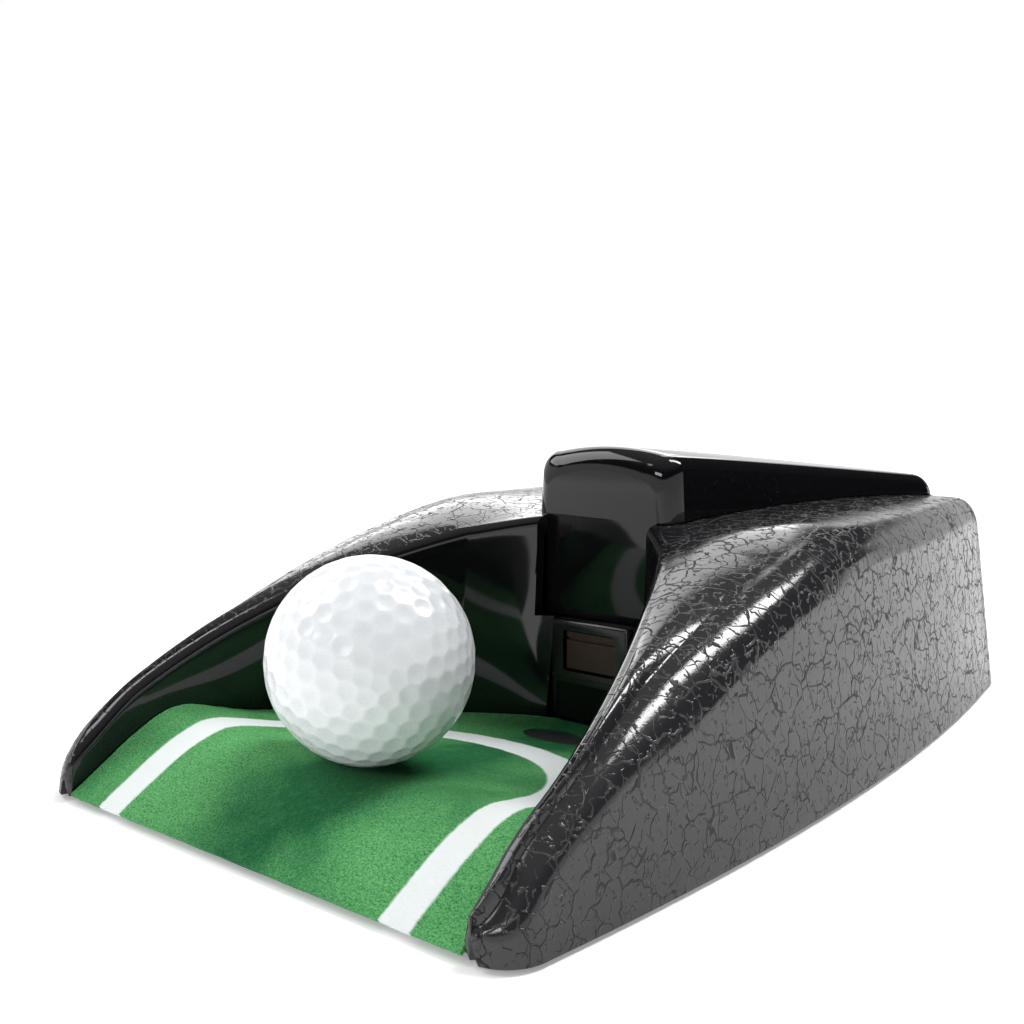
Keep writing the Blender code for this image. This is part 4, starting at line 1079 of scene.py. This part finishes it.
    def sections(self, outer: np.ndarray, foot: np.ndarray, rim: np.ndarray, inset: np.ndarray,
                 counts: tuple) -> tuple[np.ndarray, np.ndarray]:
        """Each station's section: up the outer wall, over the top and down the lane wall.

        Args:
            outer: Outer line.
            foot: Lane foot line.
            rim: Rim line.
            inset: How far inside the outer skin each section lies.
            counts: Points on the wall, shoulder, top, rim and lane wall.

        Returns:
            Points as (station, point, x depth z), and how grained each is.
        """
        inward = self.normals(outer)
        away = -self.normals(foot)
        base = self.base
        slant = tan(self.draft)
        top = self.level(outer[:, 1]) - inset
        rim_top = self.level(rim[:, 1]) + self.rim_rise - inset
        start = outer + inward * inset[:, None]
        feet = foot + away * inset[:, None]
        rims = rim + away * inset[:, None]
        lean = (top - base) * slant
        corner = start + inward * lean[:, None]
        gap = rims - corner
        width = np.linalg.norm(gap, axis=1)
        across = gap / width[:, None]
        radius = np.minimum(self.shoulder - inset, self.shoulder_share * width)
        radius = np.minimum(radius, self.shoulder_height_share * top)
        low = top - radius
        low_lean = (low - base) * slant
        lip = np.minimum(self.rim_radius, self.rim_share * width)
        rows, grains = [], []

        def add(plan: np.ndarray, height: np.ndarray, grain: float) -> None:
            """Take in one more point of every section."""
            rows.append(np.concatenate([plan, height[:, None]], axis=1))
            grains.append(grain)

        for share in np.linspace(0.0, 1.0, counts[0], endpoint=False):
            height = base + (low - base) * share
            add(start + inward * ((height - base) * slant)[:, None], height, 1.0)
        for angle in np.linspace(0.0, pi / 2, counts[1], endpoint=False):
            slide = low_lean + (lean - low_lean) * sin(angle)
            back = radius * (1 - cos(angle))
            add(start + inward * slide[:, None] + across * back[:, None], low + radius * sin(angle), 1.0)
        reach = width - radius - lip
        for share in np.linspace(0.0, 1.0, counts[2], endpoint=False):
            run = radius + reach * share
            swell = self.crown * 4 * share * (1 - share) * np.minimum(1.0, width / self.crown_width)
            height = top + (rim_top - top) * share + swell
            add(corner + across * run[:, None], height, 1.0 if share < 0.9 else 0.6)
        for angle in np.linspace(0.0, pi / 2, counts[3], endpoint=False):
            run = width - lip + lip * sin(angle)
            height = rim_top - lip * (1 - cos(angle))
            add(corner + across * run[:, None], height, 0.25 if angle < 0.5 else 0.0)
        neck = rim_top - lip
        knee = np.minimum(self.lane.felt_top(foot[:, 1]) + self.knee_rise, self.knee_share * neck)
        for share in np.linspace(0.0, 1.0, counts[4]):
            add(rims + (feet - rims) * share**self.lane_wall_power, neck + (knee - neck) * share, 0.0)
        add(feet, np.where(inset > 0.0, base, self.foot_floor), 0.0)
        return np.stack(rows, 1), np.array(grains)

    def nose_cap(self, ring: np.ndarray) -> np.ndarray:
        """Rings that close a nose with a rounded end.

        Args:
            ring: The last full ring.

        Returns:
            Ever smaller rings, outwards from it.
        """
        middle = ring.mean(axis=0)
        rings = []
        for step in range(1, self.cap_rings + 1):
            angle = pi / 2 * step / (self.cap_rings + 0.3)
            smaller = middle + (ring - middle) * cos(angle)
            smaller[:, 1] -= self.cap_bulge * sin(angle)
            smaller[:, 2] = np.maximum(smaller[:, 2], self.base)
            rings.append(smaller)
        return np.array(rings)

    def rings(self) -> tuple[np.ndarray, np.ndarray]:
        """Closed rings all along the horseshoe, with a real wall.

        Returns:
            Points as (ring, point, x y z), and how grained each point of a ring is.
        """
        nose, side, back = self.plan_samples
        dense = np.concatenate([np.linspace(0, 1, nose, endpoint=False),
                                np.linspace(1, 2, side, endpoint=False), np.linspace(2, 3, back)])
        line = self.plan(dense)[0]
        run = np.concatenate([[0.0], np.cumsum(np.linalg.norm(np.diff(line, axis=0), axis=1))])
        place = np.interp(np.linspace(0.0, run[-1], self.stations + 1), run, dense)
        outer, foot, rim = self.plan(place)
        skin, grain = self.sections(outer, foot, rim, np.zeros(len(place)), self.skin_counts)
        inset = np.minimum(self.wall, self.wall_share * np.linalg.norm(outer - foot, axis=1))
        lining, bare = self.sections(outer, foot, rim, inset, self.lining_counts)
        hollow = np.clip((place - self.hollow_from) / self.hollow_over, 0.0, 1.0)[:, None]
        lining[:, :, 2] = self.base + (lining[:, :, 2] - self.base) * hollow
        half = np.concatenate([skin, lining[:, ::-1]], axis=1)
        mirrored = half[:-1][::-1] * np.array([-1.0, 1.0, 1.0])
        rings = np.concatenate([half, mirrored], axis=0)
        rings = np.concatenate([self.nose_cap(rings[0])[::-1], rings, self.nose_cap(rings[-1])], axis=0)
        rings[:, :, 1] += FRONT_Y
        return rings, np.concatenate([grain, bare * 0.0])

    def build(self) -> bpy.types.Object:
        """Model the shell as one closed skin and cut its openings.

        Returns:
            The shell.
        """
        rings, grain = self.rings()
        shell = lofted_tube("shell_skin", rings, near_root(len(rings) - 1))
        face_out(shell)
        self.top_tree = BVHTree.FromPolygons([vertex.co.copy() for vertex in shell.data.vertices],
                                             [tuple(polygon.vertices) for polygon in shell.data.polygons])
        points = read_points(shell)
        order = np.argsort(ring_order(points, rings))
        values = np.empty(len(points))
        values[order] = np.tile(grain, len(rings))
        for cutter in self.cutters():
            cut_away(shell, cutter)
        self.store_grain(shell, points, values)
        shade(shell, 50.0)
        return shell

    def cutters(self) -> list[bpy.types.Object]:
        """The openings: behind the post, for the gear train and for the power inlet.

        Returns:
            Closed solids to take away.
        """
        hood_low = node_box("hood_cover")[0]
        panel_low, panel_high = node_box("kicker_panel")
        front = panel_low.y - self.notch_reach
        apron_half = self.apron_half + self.clearance
        panel_half = panel_high.x + self.clearance
        ledge = hood_low.z - self.clearance
        top = self.height + self.cut_over
        tee = [(-panel_half, -self.cut_under), (panel_half, -self.cut_under), (panel_half, ledge),
               (apron_half, ledge), (apron_half, top), (-apron_half, top), (-apron_half, ledge),
               (-panel_half, ledge)]
        notch = prism("post_notch", tee, "Y", front, self.notch_back)
        gear_start = self.notch_back - self.cut_overlap
        gears = [(-self.gear_front, gear_start), (self.gear_front, gear_start),
                 (self.gear_rear, self.gear_back), (-self.gear_rear, self.gear_back)]
        opening = prism("gear_opening", gears, "Z", self.gear_floor, top)
        jack_low, jack_high = node_box("dc_jack")
        middle = (jack_low + jack_high) / 2
        hole = rod("jack_hole", (middle.x, self.rear_y, self.jack_level), self.jack_radius,
                   self.jack_bore, "Y")
        return [notch, opening, hole]

    def store_grain(self, shell: bpy.types.Object, points: np.ndarray, values: np.ndarray) -> None:
        """Store how grained each vertex is, from the nearest vertex before the cuts.

        Args:
            shell: The cut shell.
            points: Where the vertices were before the cuts.
            values: How grained each was.
        """
        tree = point_tree(points)
        attribute = shell.data.attributes.new("grain", "FLOAT", "POINT")
        for vertex in shell.data.vertices:
            attribute.data[vertex.index].value = values[tree.find(vertex.co)[1]]

    def dress(self, shell: bpy.types.Object) -> None:
        """Finish the shell and put it in place of its CAD node.

        Args:
            shell: The finished shell.
        """
        install(shell, CrackleBlack().material(), "housing", "textured_abs", "outer_shell")


def near_root(count: int) -> int:
    """A divisor of a count that leaves no more than 100 cuts either way.

    Args:
        count: The count.

    Returns:
        The divisor.
    """
    return max(value for value in range(1, 100) if count % value == 0 and value * value <= count * 4)


def ring_order(points: np.ndarray, rings: np.ndarray) -> np.ndarray:
    """The running number of each vertex in the rings that it was placed by.

    Args:
        points: The vertices, in metres.
        rings: The rings, in millimetres.

    Returns:
        One number for each vertex.
    """
    tree = point_tree(rings.reshape(-1, 3) * MM)
    return np.array([tree.find(point)[1] for point in points])


def prism(name: str, outline: list[tuple[float, float]], axis: str, low: float,
          high: float) -> bpy.types.Object:
    """A flat outline pushed along an axis.

    Args:
        name: Name of the new object.
        outline: Corners (x, z) for axis Y, or (x, y) for axis Z.
        axis: The row axis.
        low: Where it starts along the axis.
        high: Where it ends.

    Returns:
        The new object.
    """
    rings = np.zeros((2, len(outline), 3))
    for index, level in enumerate((low, high)):
        for corner, (first, second) in enumerate(outline):
            rings[index, corner] = (first, level, second) if axis == "Y" else (first, second, level)
    obj = lofted_tube(name, rings, 1)
    face_out(obj)
    return obj


# ------------------------------------------------------------------ hood and kicker panel


@dataclass
class Hood:
    """The gloss hood over the drive and the apron down to the kicker panel.

    The sizes same and look_from are in metres: how near counts as the same place, and where rays start.
    """

    shell: Shell
    start: float = 113.5
    end: float = 226.0
    front_half: float = 20.5
    widening: float = 21.5
    side_power: float = 1.2
    top: float = 73.2
    fall: float = 10.9
    fall_power: float = 1.1
    crown: float = 1.7
    corner: float = 5.2
    front_round: float = 6.2
    flare: float = 0.6
    wall: float = 2.0
    apron_half: float = 16.3
    apron_edge: float = 0.35
    seat: float = 0.25
    arch_points: tuple = (16, 12, 16)
    end_rows: int = 10
    rows: int = 64
    front_squeeze: float = 0.7
    tail_squeeze: float = 3.0
    tail_drop: float = 5.0
    same: float = 1e-6
    look_from: float = 0.2

    def share(self, depth: float) -> float:
        """How far along the hood a depth is.

        Args:
            depth: The depth.

        Returns:
            0 at the front and 1 at the tail.
        """
        return min(1.0, max(0.0, (depth - self.start) / (self.end - self.start)))

    def arch(self, depth: float, squeeze: float, drop: float, tops: BVHTree) -> np.ndarray:
        """One arch over the hood, from its left foot to its right foot.

        Args:
            depth: Where the arch stands.
            squeeze: How much narrower each side is than the full arch.
            drop: How much lower its top is.
            tops: The shell's skin.

        Returns:
            Points.
        """
        share = self.share(depth)
        half = self.front_half + self.widening * share**self.side_power - squeeze
        crown = self.top - self.fall * share**self.fall_power - drop
        edge = crown - self.crown
        spring = edge - self.corner
        y = depth + FRONT_Y
        foot = self.foot_level(half + self.flare, y, tops)
        up, round_it, across = self.arch_points
        side = [(half + self.flare * (1 - t), foot + (spring - foot) * t) for t in np.linspace(0, 1, up)]
        bend = [(half - self.corner * (1 - cos(a)), spring + self.corner * sin(a))
                for a in np.linspace(0, pi / 2, round_it)[1:]]
        inner = half - self.corner
        over = [(x, edge + self.crown * (1 - (x / inner) ** 2)) for x in np.linspace(inner, 0, across)[1:]]
        right = side + bend + over
        line = [(-x, z) for x, z in right] + [(x, z) for x, z in right[::-1][1:]]
        return np.array([(x, y, z) for x, z in line])

    def foot_level(self, x: float, y: float, tops: BVHTree) -> float:
        """Height of the hood's foot just above the shell.

        Args:
            x: Place across the object.
            y: Place along it.
            tops: The shell's skin.

        Returns:
            The height.
        """
        above = Vector((x * MM, y * MM, self.look_from))
        hit = tops.ray_cast(above, Vector((0, 0, -1)))[0]
        return hit.z * PER_METRE + self.seat if hit is not None else self.shell.height

    def build(self) -> bpy.types.Object:
        """Model the hood as one hollow cover with its apron.

        Returns:
            The hood.
        """
        tops = self.shell.top_tree
        rows = []
        for angle in np.linspace(0.0, pi / 2, self.end_rows):
            inset = self.front_round * (1 - sin(angle))
            depth = self.start + self.front_round * (1 - cos(angle))
            rows.append(self.arch(depth, inset * self.front_squeeze, inset, tops))
        straight_end = self.end - self.corner
        for depth in np.linspace(self.start + self.front_round, straight_end, self.rows)[1:]:
            rows.append(self.arch(depth, 0.0, 0.0, tops))
        for angle in np.linspace(0.0, pi / 2, self.end_rows)[1:]:
            fall = 1 - cos(angle)
            rows.append(self.arch(straight_end + self.corner * sin(angle), self.tail_squeeze * fall,
                                  self.tail_drop * fall, tops))
        hood = lofted_sheet("gloss_hood", np.array(rows))
        for depth in (self.start, self.end):
            self.close_end(hood, (depth + FRONT_Y) * MM)
        self.hang_apron(hood)
        face_out(hood)
        apply_modifier(hood, "SOLIDIFY", thickness=self.wall * MM, offset=-1.0, use_even_offset=False)
        apply_modifier(hood, "BEVEL", width=self.apron_edge * MM, segments=2, limit_method="ANGLE",
                       angle_limit=radians(60))
        shade(hood, 35.0)
        return hood

    def close_end(self, hood: bpy.types.Object, y: float) -> None:
        """Fill the flat end of the hood.

        Args:
            hood: The open sheet.
            y: Where the end is, in metres.
        """
        pick(hood)
        bpy.ops.object.mode_set(mode="EDIT")
        bpy.ops.mesh.select_mode(type="VERT")
        bpy.ops.mesh.select_all(action="DESELECT")
        edit = bmesh.from_edit_mesh(hood.data)
        for vertex in edit.verts:
            vertex.select_set(abs(vertex.co.y - y) < self.same)
        edit.select_flush(True)
        bmesh.update_edit_mesh(hood.data)
        bpy.ops.mesh.edge_face_add()
        bpy.ops.object.mode_set(mode="OBJECT")

    def hang_apron(self, hood: bpy.types.Object) -> None:
        """Carry the hood's flat front down between the lane's walls.

        Args:
            hood: The sheet, closed in front.
        """
        front = (self.start + FRONT_Y) * MM
        pick(hood)
        bpy.ops.object.mode_set(mode="EDIT")
        bpy.ops.mesh.select_all(action="DESELECT")
        edit = bmesh.from_edit_mesh(hood.data)
        ends = [vertex for vertex in edit.verts if abs(vertex.co.y - front) < self.same]
        foot = min(vertex.co.z for vertex in ends)
        for vertex in ends:
            vertex.select_set(vertex.co.z < foot + self.same)
        edit.select_flush(True)
        bmesh.update_edit_mesh(hood.data)
        half = max(abs(vertex.co.x) for vertex in edit.verts if vertex.select)
        drop = foot - node_box("hood_cover")[0].z * MM
        bpy.ops.mesh.extrude_edges_move(TRANSFORM_OT_translate={"value": (0.0, 0.0, -drop)})
        bpy.ops.transform.resize(value=(self.apron_half * MM / half, 1.0, 1.0),
                                 center_override=(0.0, front, foot))
        bpy.ops.object.mode_set(mode="OBJECT")

    def dress(self, hood: bpy.types.Object) -> None:
        """Finish the hood and put it in place of its CAD node.

        Args:
            hood: The finished hood.
        """
        install(hood, GlossBlack().material(), "housing", "gloss_abs", "hood_cover")


@dataclass
class KickerPanel:
    """The bezel at the back of the lane, with the window that the kicker comes out of."""

    window_half: float = 8.0
    window_low: float = 15.9
    window_high: float = 26.4
    step_level: float = 14.5
    groove: float = 0.35
    edge: float = 1.1
    window_corner: float = 0.8
    cut_past: float = 3.0
    step_side: float = 2.2
    step_depth: float = 0.5
    step_gap: float = 1.6
    step_corner: float = 0.4
    colour: tuple = (0.006, 0.006, 0.007, 1.0)
    roughness: float = 0.22

    def build(self) -> bpy.types.Object:
        """Model the panel with its window, step line and seam.

        Returns:
            The panel.
        """
        low, high = node_box("kicker_panel")
        panel = block("kicker_bezel", (low.x, low.y, low.z), (high.x, high.y, high.z), self.edge, 4)
        window = block("window", (-self.window_half, low.y - self.cut_past, self.window_low),
                       (self.window_half, high.y + self.cut_past, self.window_high), self.window_corner)
        cut_away(panel, window)
        line = block("step_line", (low.x - 1.0, low.y - 1.0, self.step_level - self.groove),
                     (high.x + 1.0, low.y + self.groove, self.step_level + self.groove))
        cut_away(panel, line)
        recess = block("lower_step", (low.x + self.step_side, low.y - 1.0, low.z - 1.0),
                       (high.x - self.step_side, low.y + self.step_depth, self.step_level - self.step_gap),
                       self.step_corner, 2)
        cut_away(panel, recess)
        shade(panel, 35.0)
        return panel

    def dress(self, panel: bpy.types.Object) -> None:
        """Finish the panel and put it in place of its CAD node.

        Args:
            panel: The finished panel.
        """
        material = MouldedPlastic("bezel_black", self.colour, self.roughness, Grain.FINE).material()
        install(panel, material, "housing", "gloss_abs", "kicker_panel")


# ------------------------------------------------------------------ felt


@dataclass
class FeltMat:
    """The felt over the ramp, with its hole over the trigger."""

    lane: LaneForm
    clearance: float = 0.4
    thickness: float = 0.8
    back: float = 108.4
    dish: float = 1.7
    dish_depth: float = 28.0
    dish_spread: float = 15.0
    hole_depth: float = 95.5
    hole_half: tuple = (9.0, 5.0)
    hole_level: float = 5.0
    hole_bore: float = 30.0
    rows: int = 200
    columns: int = 180
    dish_half: float = 41.0
    front_reach: float = 12.0
    front_power: float = 1.5
    even_share: float = 0.55
    tufts: tuple = ((0.9, 0.06), (0.22, 0.10))
    measure_steps: int = 400

    def surface(self, x: np.ndarray, depth: np.ndarray) -> np.ndarray:
        """Height of the felt's top, a little dished across its crest.

        Args:
            x: Places across.
            depth: Depths.

        Returns:
            Heights.
        """
        hump = np.exp(-(((depth - self.dish_depth) / self.dish_spread) ** 2))
        front = np.clip(depth / self.front_reach, 0.0, 1.0) ** self.front_power
        return self.lane.felt_top(depth) + self.dish * (x / self.dish_half) ** 2 * hump * front

    def build(self) -> bpy.types.Object:
        """Model the felt as one sheet laid over the ramp.

        Returns:
            The felt.
        """
        step = np.linspace(0.0, 1.0, self.rows)
        depth = self.back * (self.even_share * step + (1.0 - self.even_share) * np.sin(step * pi / 2))
        half = self.lane.half_width(depth) - self.clearance
        x = np.linspace(-1.0, 1.0, self.columns)[None, :] * half[:, None]
        deep = np.repeat(depth[:, None], self.columns, axis=1)
        z = self.surface(x, deep)
        points = np.stack([x, deep + FRONT_Y, z], -1)
        felt = lofted_sheet("green_felt", points)
        self.ruffle(felt)
        face_up(felt)
        apply_modifier(felt, "SOLIDIFY", thickness=self.thickness * MM, offset=-1.0)
        middle = self.hole_depth + FRONT_Y
        cutter = rod("hole", (0.0, middle, self.hole_level), 1.0, self.hole_bore, "Z", 64)
        for vertex in cutter.data.vertices:
            vertex.co.x *= self.hole_half[0]
            vertex.co.y = (vertex.co.y - middle * MM) * self.hole_half[1] + middle * MM
        cut_away(felt, cutter)
        shade(felt, 50.0)
        return felt

    def ruffle(self, felt: bpy.types.Object) -> None:
        """Raise the pile unevenly.

        Args:
            felt: The open sheet.
        """
        for vertex in felt.data.vertices:
            place = vertex.co * PER_METRE
            lift = sum(noise.noise(place * often) * high for often, high in self.tufts)
            vertex.co.z += lift * MM

    def dress(self, felt: bpy.types.Object) -> None:
        """Finish the felt and put it in place of its CAD node.

        Args:
            felt: The finished felt.
        """
        install(felt, PuttingFelt().material(), "housing", "felt", "putting_mat")
        step = np.linspace(0.0, self.back, self.measure_steps)
        half = self.lane.half_width(step) - self.clearance
        rise = np.gradient(self.lane.felt_top(step), step)


def face_up(obj: bpy.types.Object) -> None:
    """Turn an open sheet's faces upwards.

    Args:
        obj: The sheet.
    """
    pick(obj)
    if sum(polygon.normal.z for polygon in obj.data.polygons) < 0.0:
        bpy.ops.object.mode_set(mode="EDIT")
        bpy.ops.mesh.select_all(action="SELECT")
        bpy.ops.mesh.flip_normals()
        bpy.ops.object.mode_set(mode="OBJECT")


# ------------------------------------------------------------------ ball


@dataclass
class GolfBall:
    """The dimpled ball."""

    radius: float = 21.335
    frequency: int = 6
    dimple_radius: float = 2.05
    dimple_depth: float = 0.30
    rim_share: float = 0.16
    rim_height: float = 0.035
    fineness: int = 7
    turn: tuple = (0.4, 0.25, 0.6)

    def centres(self) -> np.ndarray:
        """Directions to the dimples: an icosahedron with its edges cut evenly.

        Returns:
            Unit vectors.
        """
        deselect_all()
        bpy.ops.mesh.primitive_ico_sphere_add(subdivisions=1, radius=1.0)
        guide = bpy.context.object
        bpy.ops.object.mode_set(mode="EDIT")
        bpy.ops.mesh.select_all(action="SELECT")
        bpy.ops.mesh.subdivide(number_cuts=self.frequency - 1)
        bpy.ops.object.mode_set(mode="OBJECT")
        turn = Euler(self.turn).to_matrix()
        points = np.array([turn @ vertex.co.normalized() for vertex in guide.data.vertices])
        bpy.data.objects.remove(guide)
        return points

    def build(self) -> bpy.types.Object:
        """Model the ball with its dimples pressed in.

        Returns:
            The ball.
        """
        low, high = node_box("golf_ball")
        middle = (low + high) / 2
        centres = self.centres()
        deselect_all()
        bpy.ops.mesh.primitive_ico_sphere_add(subdivisions=self.fineness, radius=1.0)
        ball = bpy.context.object
        ball.name = "dimpled_ball"
        points = read_points(ball)
        points /= np.linalg.norm(points, axis=1)[:, None]
        nearest = np.max(points @ centres.T, axis=1)
        away = np.arccos(np.clip(nearest, -1.0, 1.0)) * self.radius / self.dimple_radius
        dip = np.clip(1.0 - away**2, 0.0, 1.0)
        lip = np.clip(1.0 - np.abs(away - 1.0) / self.rim_share, 0.0, 1.0) * self.rim_height
        reach = self.radius - self.dimple_depth * dip - lip
        write_points(ball, (points * reach[:, None] + np.array(middle)) * MM)
        attribute = ball.data.attributes.new("dimple", "FLOAT", "POINT")
        attribute.data.foreach_set("value", dip)
        pick(ball)
        bpy.ops.object.shade_smooth()
        return ball

    def dress(self, ball: bpy.types.Object) -> None:
        """Finish the ball and put it in place of its CAD node.

        Args:
            ball: The finished ball.
        """
        install(ball, BallCover().material(), "ball", "ball_white", "golf_ball")


# ------------------------------------------------------------------ carried-over nodes


@dataclass
class Fittings:
    """Finishes for the CAD nodes whose shape is right as it is."""

    def finishes(self) -> dict[str, bpy.types.Material]:
        """Each finish by a short name.

        Returns:
            The materials.
        """
        plastics = {
            "tray": ("tray_black", (0.02, 0.02, 0.022, 1.0), 0.55, Grain.COARSE),
            "acetal": ("acetal_white", (0.72, 0.71, 0.67, 1.0), 0.38, Grain.FINE),
            "red": ("red_plastic", (0.040, 0.011, 0.008, 1.0), 0.35, Grain.FINE),
            "rubber": ("foot_rubber", (0.025, 0.025, 0.026, 1.0), 0.85, Grain.COARSE),
            "black": ("socket_black", (0.015, 0.015, 0.017, 1.0), 0.4, Grain.FINE),
        }
        made = {key: MouldedPlastic(*values).material() for key, values in plastics.items()}
        made["steel"] = BrightSteel("bright_steel").material()
        made["motor"] = BrightSteel("motor_can", (0.50, 0.50, 0.52, 1.0), 0.34).material()
        made["cell"] = CellSleeve().material()
        return made

    def slots(self) -> dict[str, str]:
        """Which finish each record slot takes.

        Returns:
            Finish names by slot.
        """
        return {"tray_abs": "tray", "acetal": "acetal", "steel": "steel", "motor_steel": "motor",
                "red_abs": "red", "rubber": "rubber", "cell_jacket": "cell", "textured_abs": "black",
                "gloss_abs": "black", "felt": "rubber", "ball_white": "acetal"}

    def dress(self) -> None:
        """Give every CAD node that stays its finish."""
        made = self.finishes()
        by_slot = self.slots()
        slot_of = {item["node"]: item["material_slot"] for item in frame["record"]["subparts"]}
        for name, obj in frame["nodes"].items():
            finish = made[by_slot[slot_of[name]]]
            dress(obj, finish)
            log.info("%s: finish %s", name, finish.name)


# ------------------------------------------------------------------ studio


@dataclass(frozen=True)
class SoftBox:
    """One lamp that faces the object, in metres and watts."""

    name: str
    place: tuple
    size: tuple
    power: float


@dataclass(frozen=True)
class Flag:
    """One dark upright card that only reflections see, in metres."""

    name: str
    place: tuple
    size: tuple


@dataclass
class Studio:
    """Pale floor with painted shade round the object, soft boxes, dark cards, a graded surround and the
    camera.
    """

    camera_place: tuple = (0.17897, -0.25343, 0.09182)
    camera_turn: tuple = (83.40, 0.0, 39.91)
    lens: float = 43.35
    floor_size: float = 12.0
    glow_reach: tuple = (0.25, 1.6)
    glow_strength: tuple = (0.25, 0.9)
    sky: tuple = ((0.0, 1.0), (0.29, 1.0), (0.36, 0.03), (0.62, 0.03), (0.85, 0.3), (1.0, 0.35))
    aim: tuple = (0.0, 0.0, 0.04)
    boxes: tuple = (
        SoftBox("ridge_strip", (0.32, 0.62, 1.25), (0.30, 0.85), 15.0),
        SoftBox("rear_left_box", (-1.05, 1.05, 0.80), (1.2, 1.0), 8.5),
        SoftBox("side_box", (1.15, 1.3, 0.22), (1.1, 0.42), 1.8),
        SoftBox("front_box", (0.05, -1.2, 0.75), (0.5, 0.18), 2.5),
        SoftBox("left_box", (-1.1, -0.4, 1.1), (1.0, 1.0), 13.0),
    )
    flags: tuple = (
        Flag("side_flag", (0.41, 0.39, 0.12), (0.30, 0.20)),
        Flag("shoulder_flag", (0.92, 1.12, 0.52), (1.0, 0.40)),
    )

    def build(self) -> None:
        """Set up everything that isn't the object."""
        self.add_floor()
        self.add_surround()
        for box in self.boxes:
            self.add_box(box)
        for flag in self.flags:
            self.add_flag(flag)
        self.add_camera()
        view = bpy.context.scene.view_settings
        view.view_transform = "Standard"
        view.look = "None"

    def add_floor(self) -> None:
        """A wide pale floor that glows, less near the object: painted shade round it."""
        deselect_all()
        bpy.ops.mesh.primitive_plane_add(size=self.floor_size)
        floor = bpy.context.object
        floor.name = "studio_floor"
        kit = NodeKit("pale_floor")
        soft = kit.noise(400.0, 2.0).outputs["Fac"]
        colour = kit.blend(soft, (0.93, 0.93, 0.93, 1.0), (0.96, 0.96, 0.96, 1.0))
        reach = kit.add("ShaderNodeVectorMath", operation="LENGTH")
        kit.feed(reach.inputs[0], kit.place)
        # The floor glows less near the object: painted shade round its foot.
        glow_with_painted_shade = kit.span(reach.outputs["Value"], *self.glow_reach, *self.glow_strength)
        dress(floor, kit.finish(Base_Color=colour, Roughness=0.9, Specular_IOR_Level=0.1,
                                Emission_Color=(1.0, 1.0, 1.0, 1.0), Emission_Strength=glow_with_painted_shade))

    def add_surround(self) -> None:
        """White at the horizon, a dark band above it and a soft ceiling."""
        world = bpy.data.worlds.new("surround")
        bpy.context.scene.world = world
        world.use_nodes = True
        tree = world.node_tree
        place = tree.nodes.new("ShaderNodeTexCoord")
        split = tree.nodes.new("ShaderNodeSeparateXYZ")
        tree.links.new(place.outputs["Generated"], split.inputs[0])
        ramp = tree.nodes.new("ShaderNodeValToRGB")
        tree.links.new(split.outputs["Z"], ramp.inputs[0])
        while len(ramp.color_ramp.elements) < len(self.sky):
            ramp.color_ramp.elements.new(0.5)
        for element, (place_at, value) in zip(ramp.color_ramp.elements, self.sky):
            element.position = place_at
            element.color = (value, value, value, 1.0)
        tree.links.new(ramp.outputs[0], tree.nodes["Background"].inputs["Color"])
        tree.nodes["Background"].inputs["Strength"].default_value = 1.0

    def add_box(self, box: SoftBox) -> None:
        """Hang one soft box and aim it at the object.

        Args:
            box: The soft box.
        """
        light = bpy.data.lights.new(box.name, "AREA")
        light.shape = "RECTANGLE"
        light.size, light.size_y = box.size
        light.energy = box.power
        lamp = bpy.data.objects.new(box.name, light)
        lamp.location = box.place
        lamp.visible_camera = False
        aim = Vector(self.aim) - Vector(box.place)
        lamp.rotation_euler = aim.to_track_quat("-Z", "Y").to_euler()
        bpy.context.scene.collection.objects.link(lamp)

    def add_flag(self, flag: Flag) -> None:
        """Stand one dark card up, facing the object.

        Args:
            flag: The card.
        """
        deselect_all()
        bpy.ops.mesh.primitive_plane_add(size=1.0)
        card = bpy.context.object
        card.name = flag.name
        card.scale = (*flag.size, 1.0)
        card.location = flag.place
        card.rotation_euler = Vector((-flag.place[0], -flag.place[1], 0.0)).to_track_quat("Z", "Y").to_euler()
        card.visible_camera = False
        card.visible_shadow = False
        kit = NodeKit(flag.name)
        dress(card, kit.finish(Base_Color=(0.01, 0.01, 0.01, 1.0), Roughness=1.0, Specular_IOR_Level=0.0))

    def add_camera(self) -> None:
        """The camera, low at the right front."""
        camera = bpy.data.objects.new("camera", bpy.data.cameras.new("camera"))
        camera.location = self.camera_place
        camera.rotation_euler = [radians(value) for value in self.camera_turn]
        camera.data.lens = self.lens
        camera.data.clip_start = 0.01
        bpy.context.scene.collection.objects.link(camera)
        bpy.context.scene.camera = camera


def main() -> None:
    """Build the object and its studio."""
    Studio().build()
    lane = LaneForm()
    shell = Shell(lane)
    skin = shell.build()
    shell.dress(skin)
    hood = Hood(shell)
    hood.dress(hood.build())
    panel = KickerPanel()
    panel.dress(panel.build())
    felt = FeltMat(lane)
    felt.dress(felt.build())
    ball = GolfBall()
    ball.dress(ball.build())
    Fittings().dress()
    deselect_all()


if __name__ == "__main__":
    main()
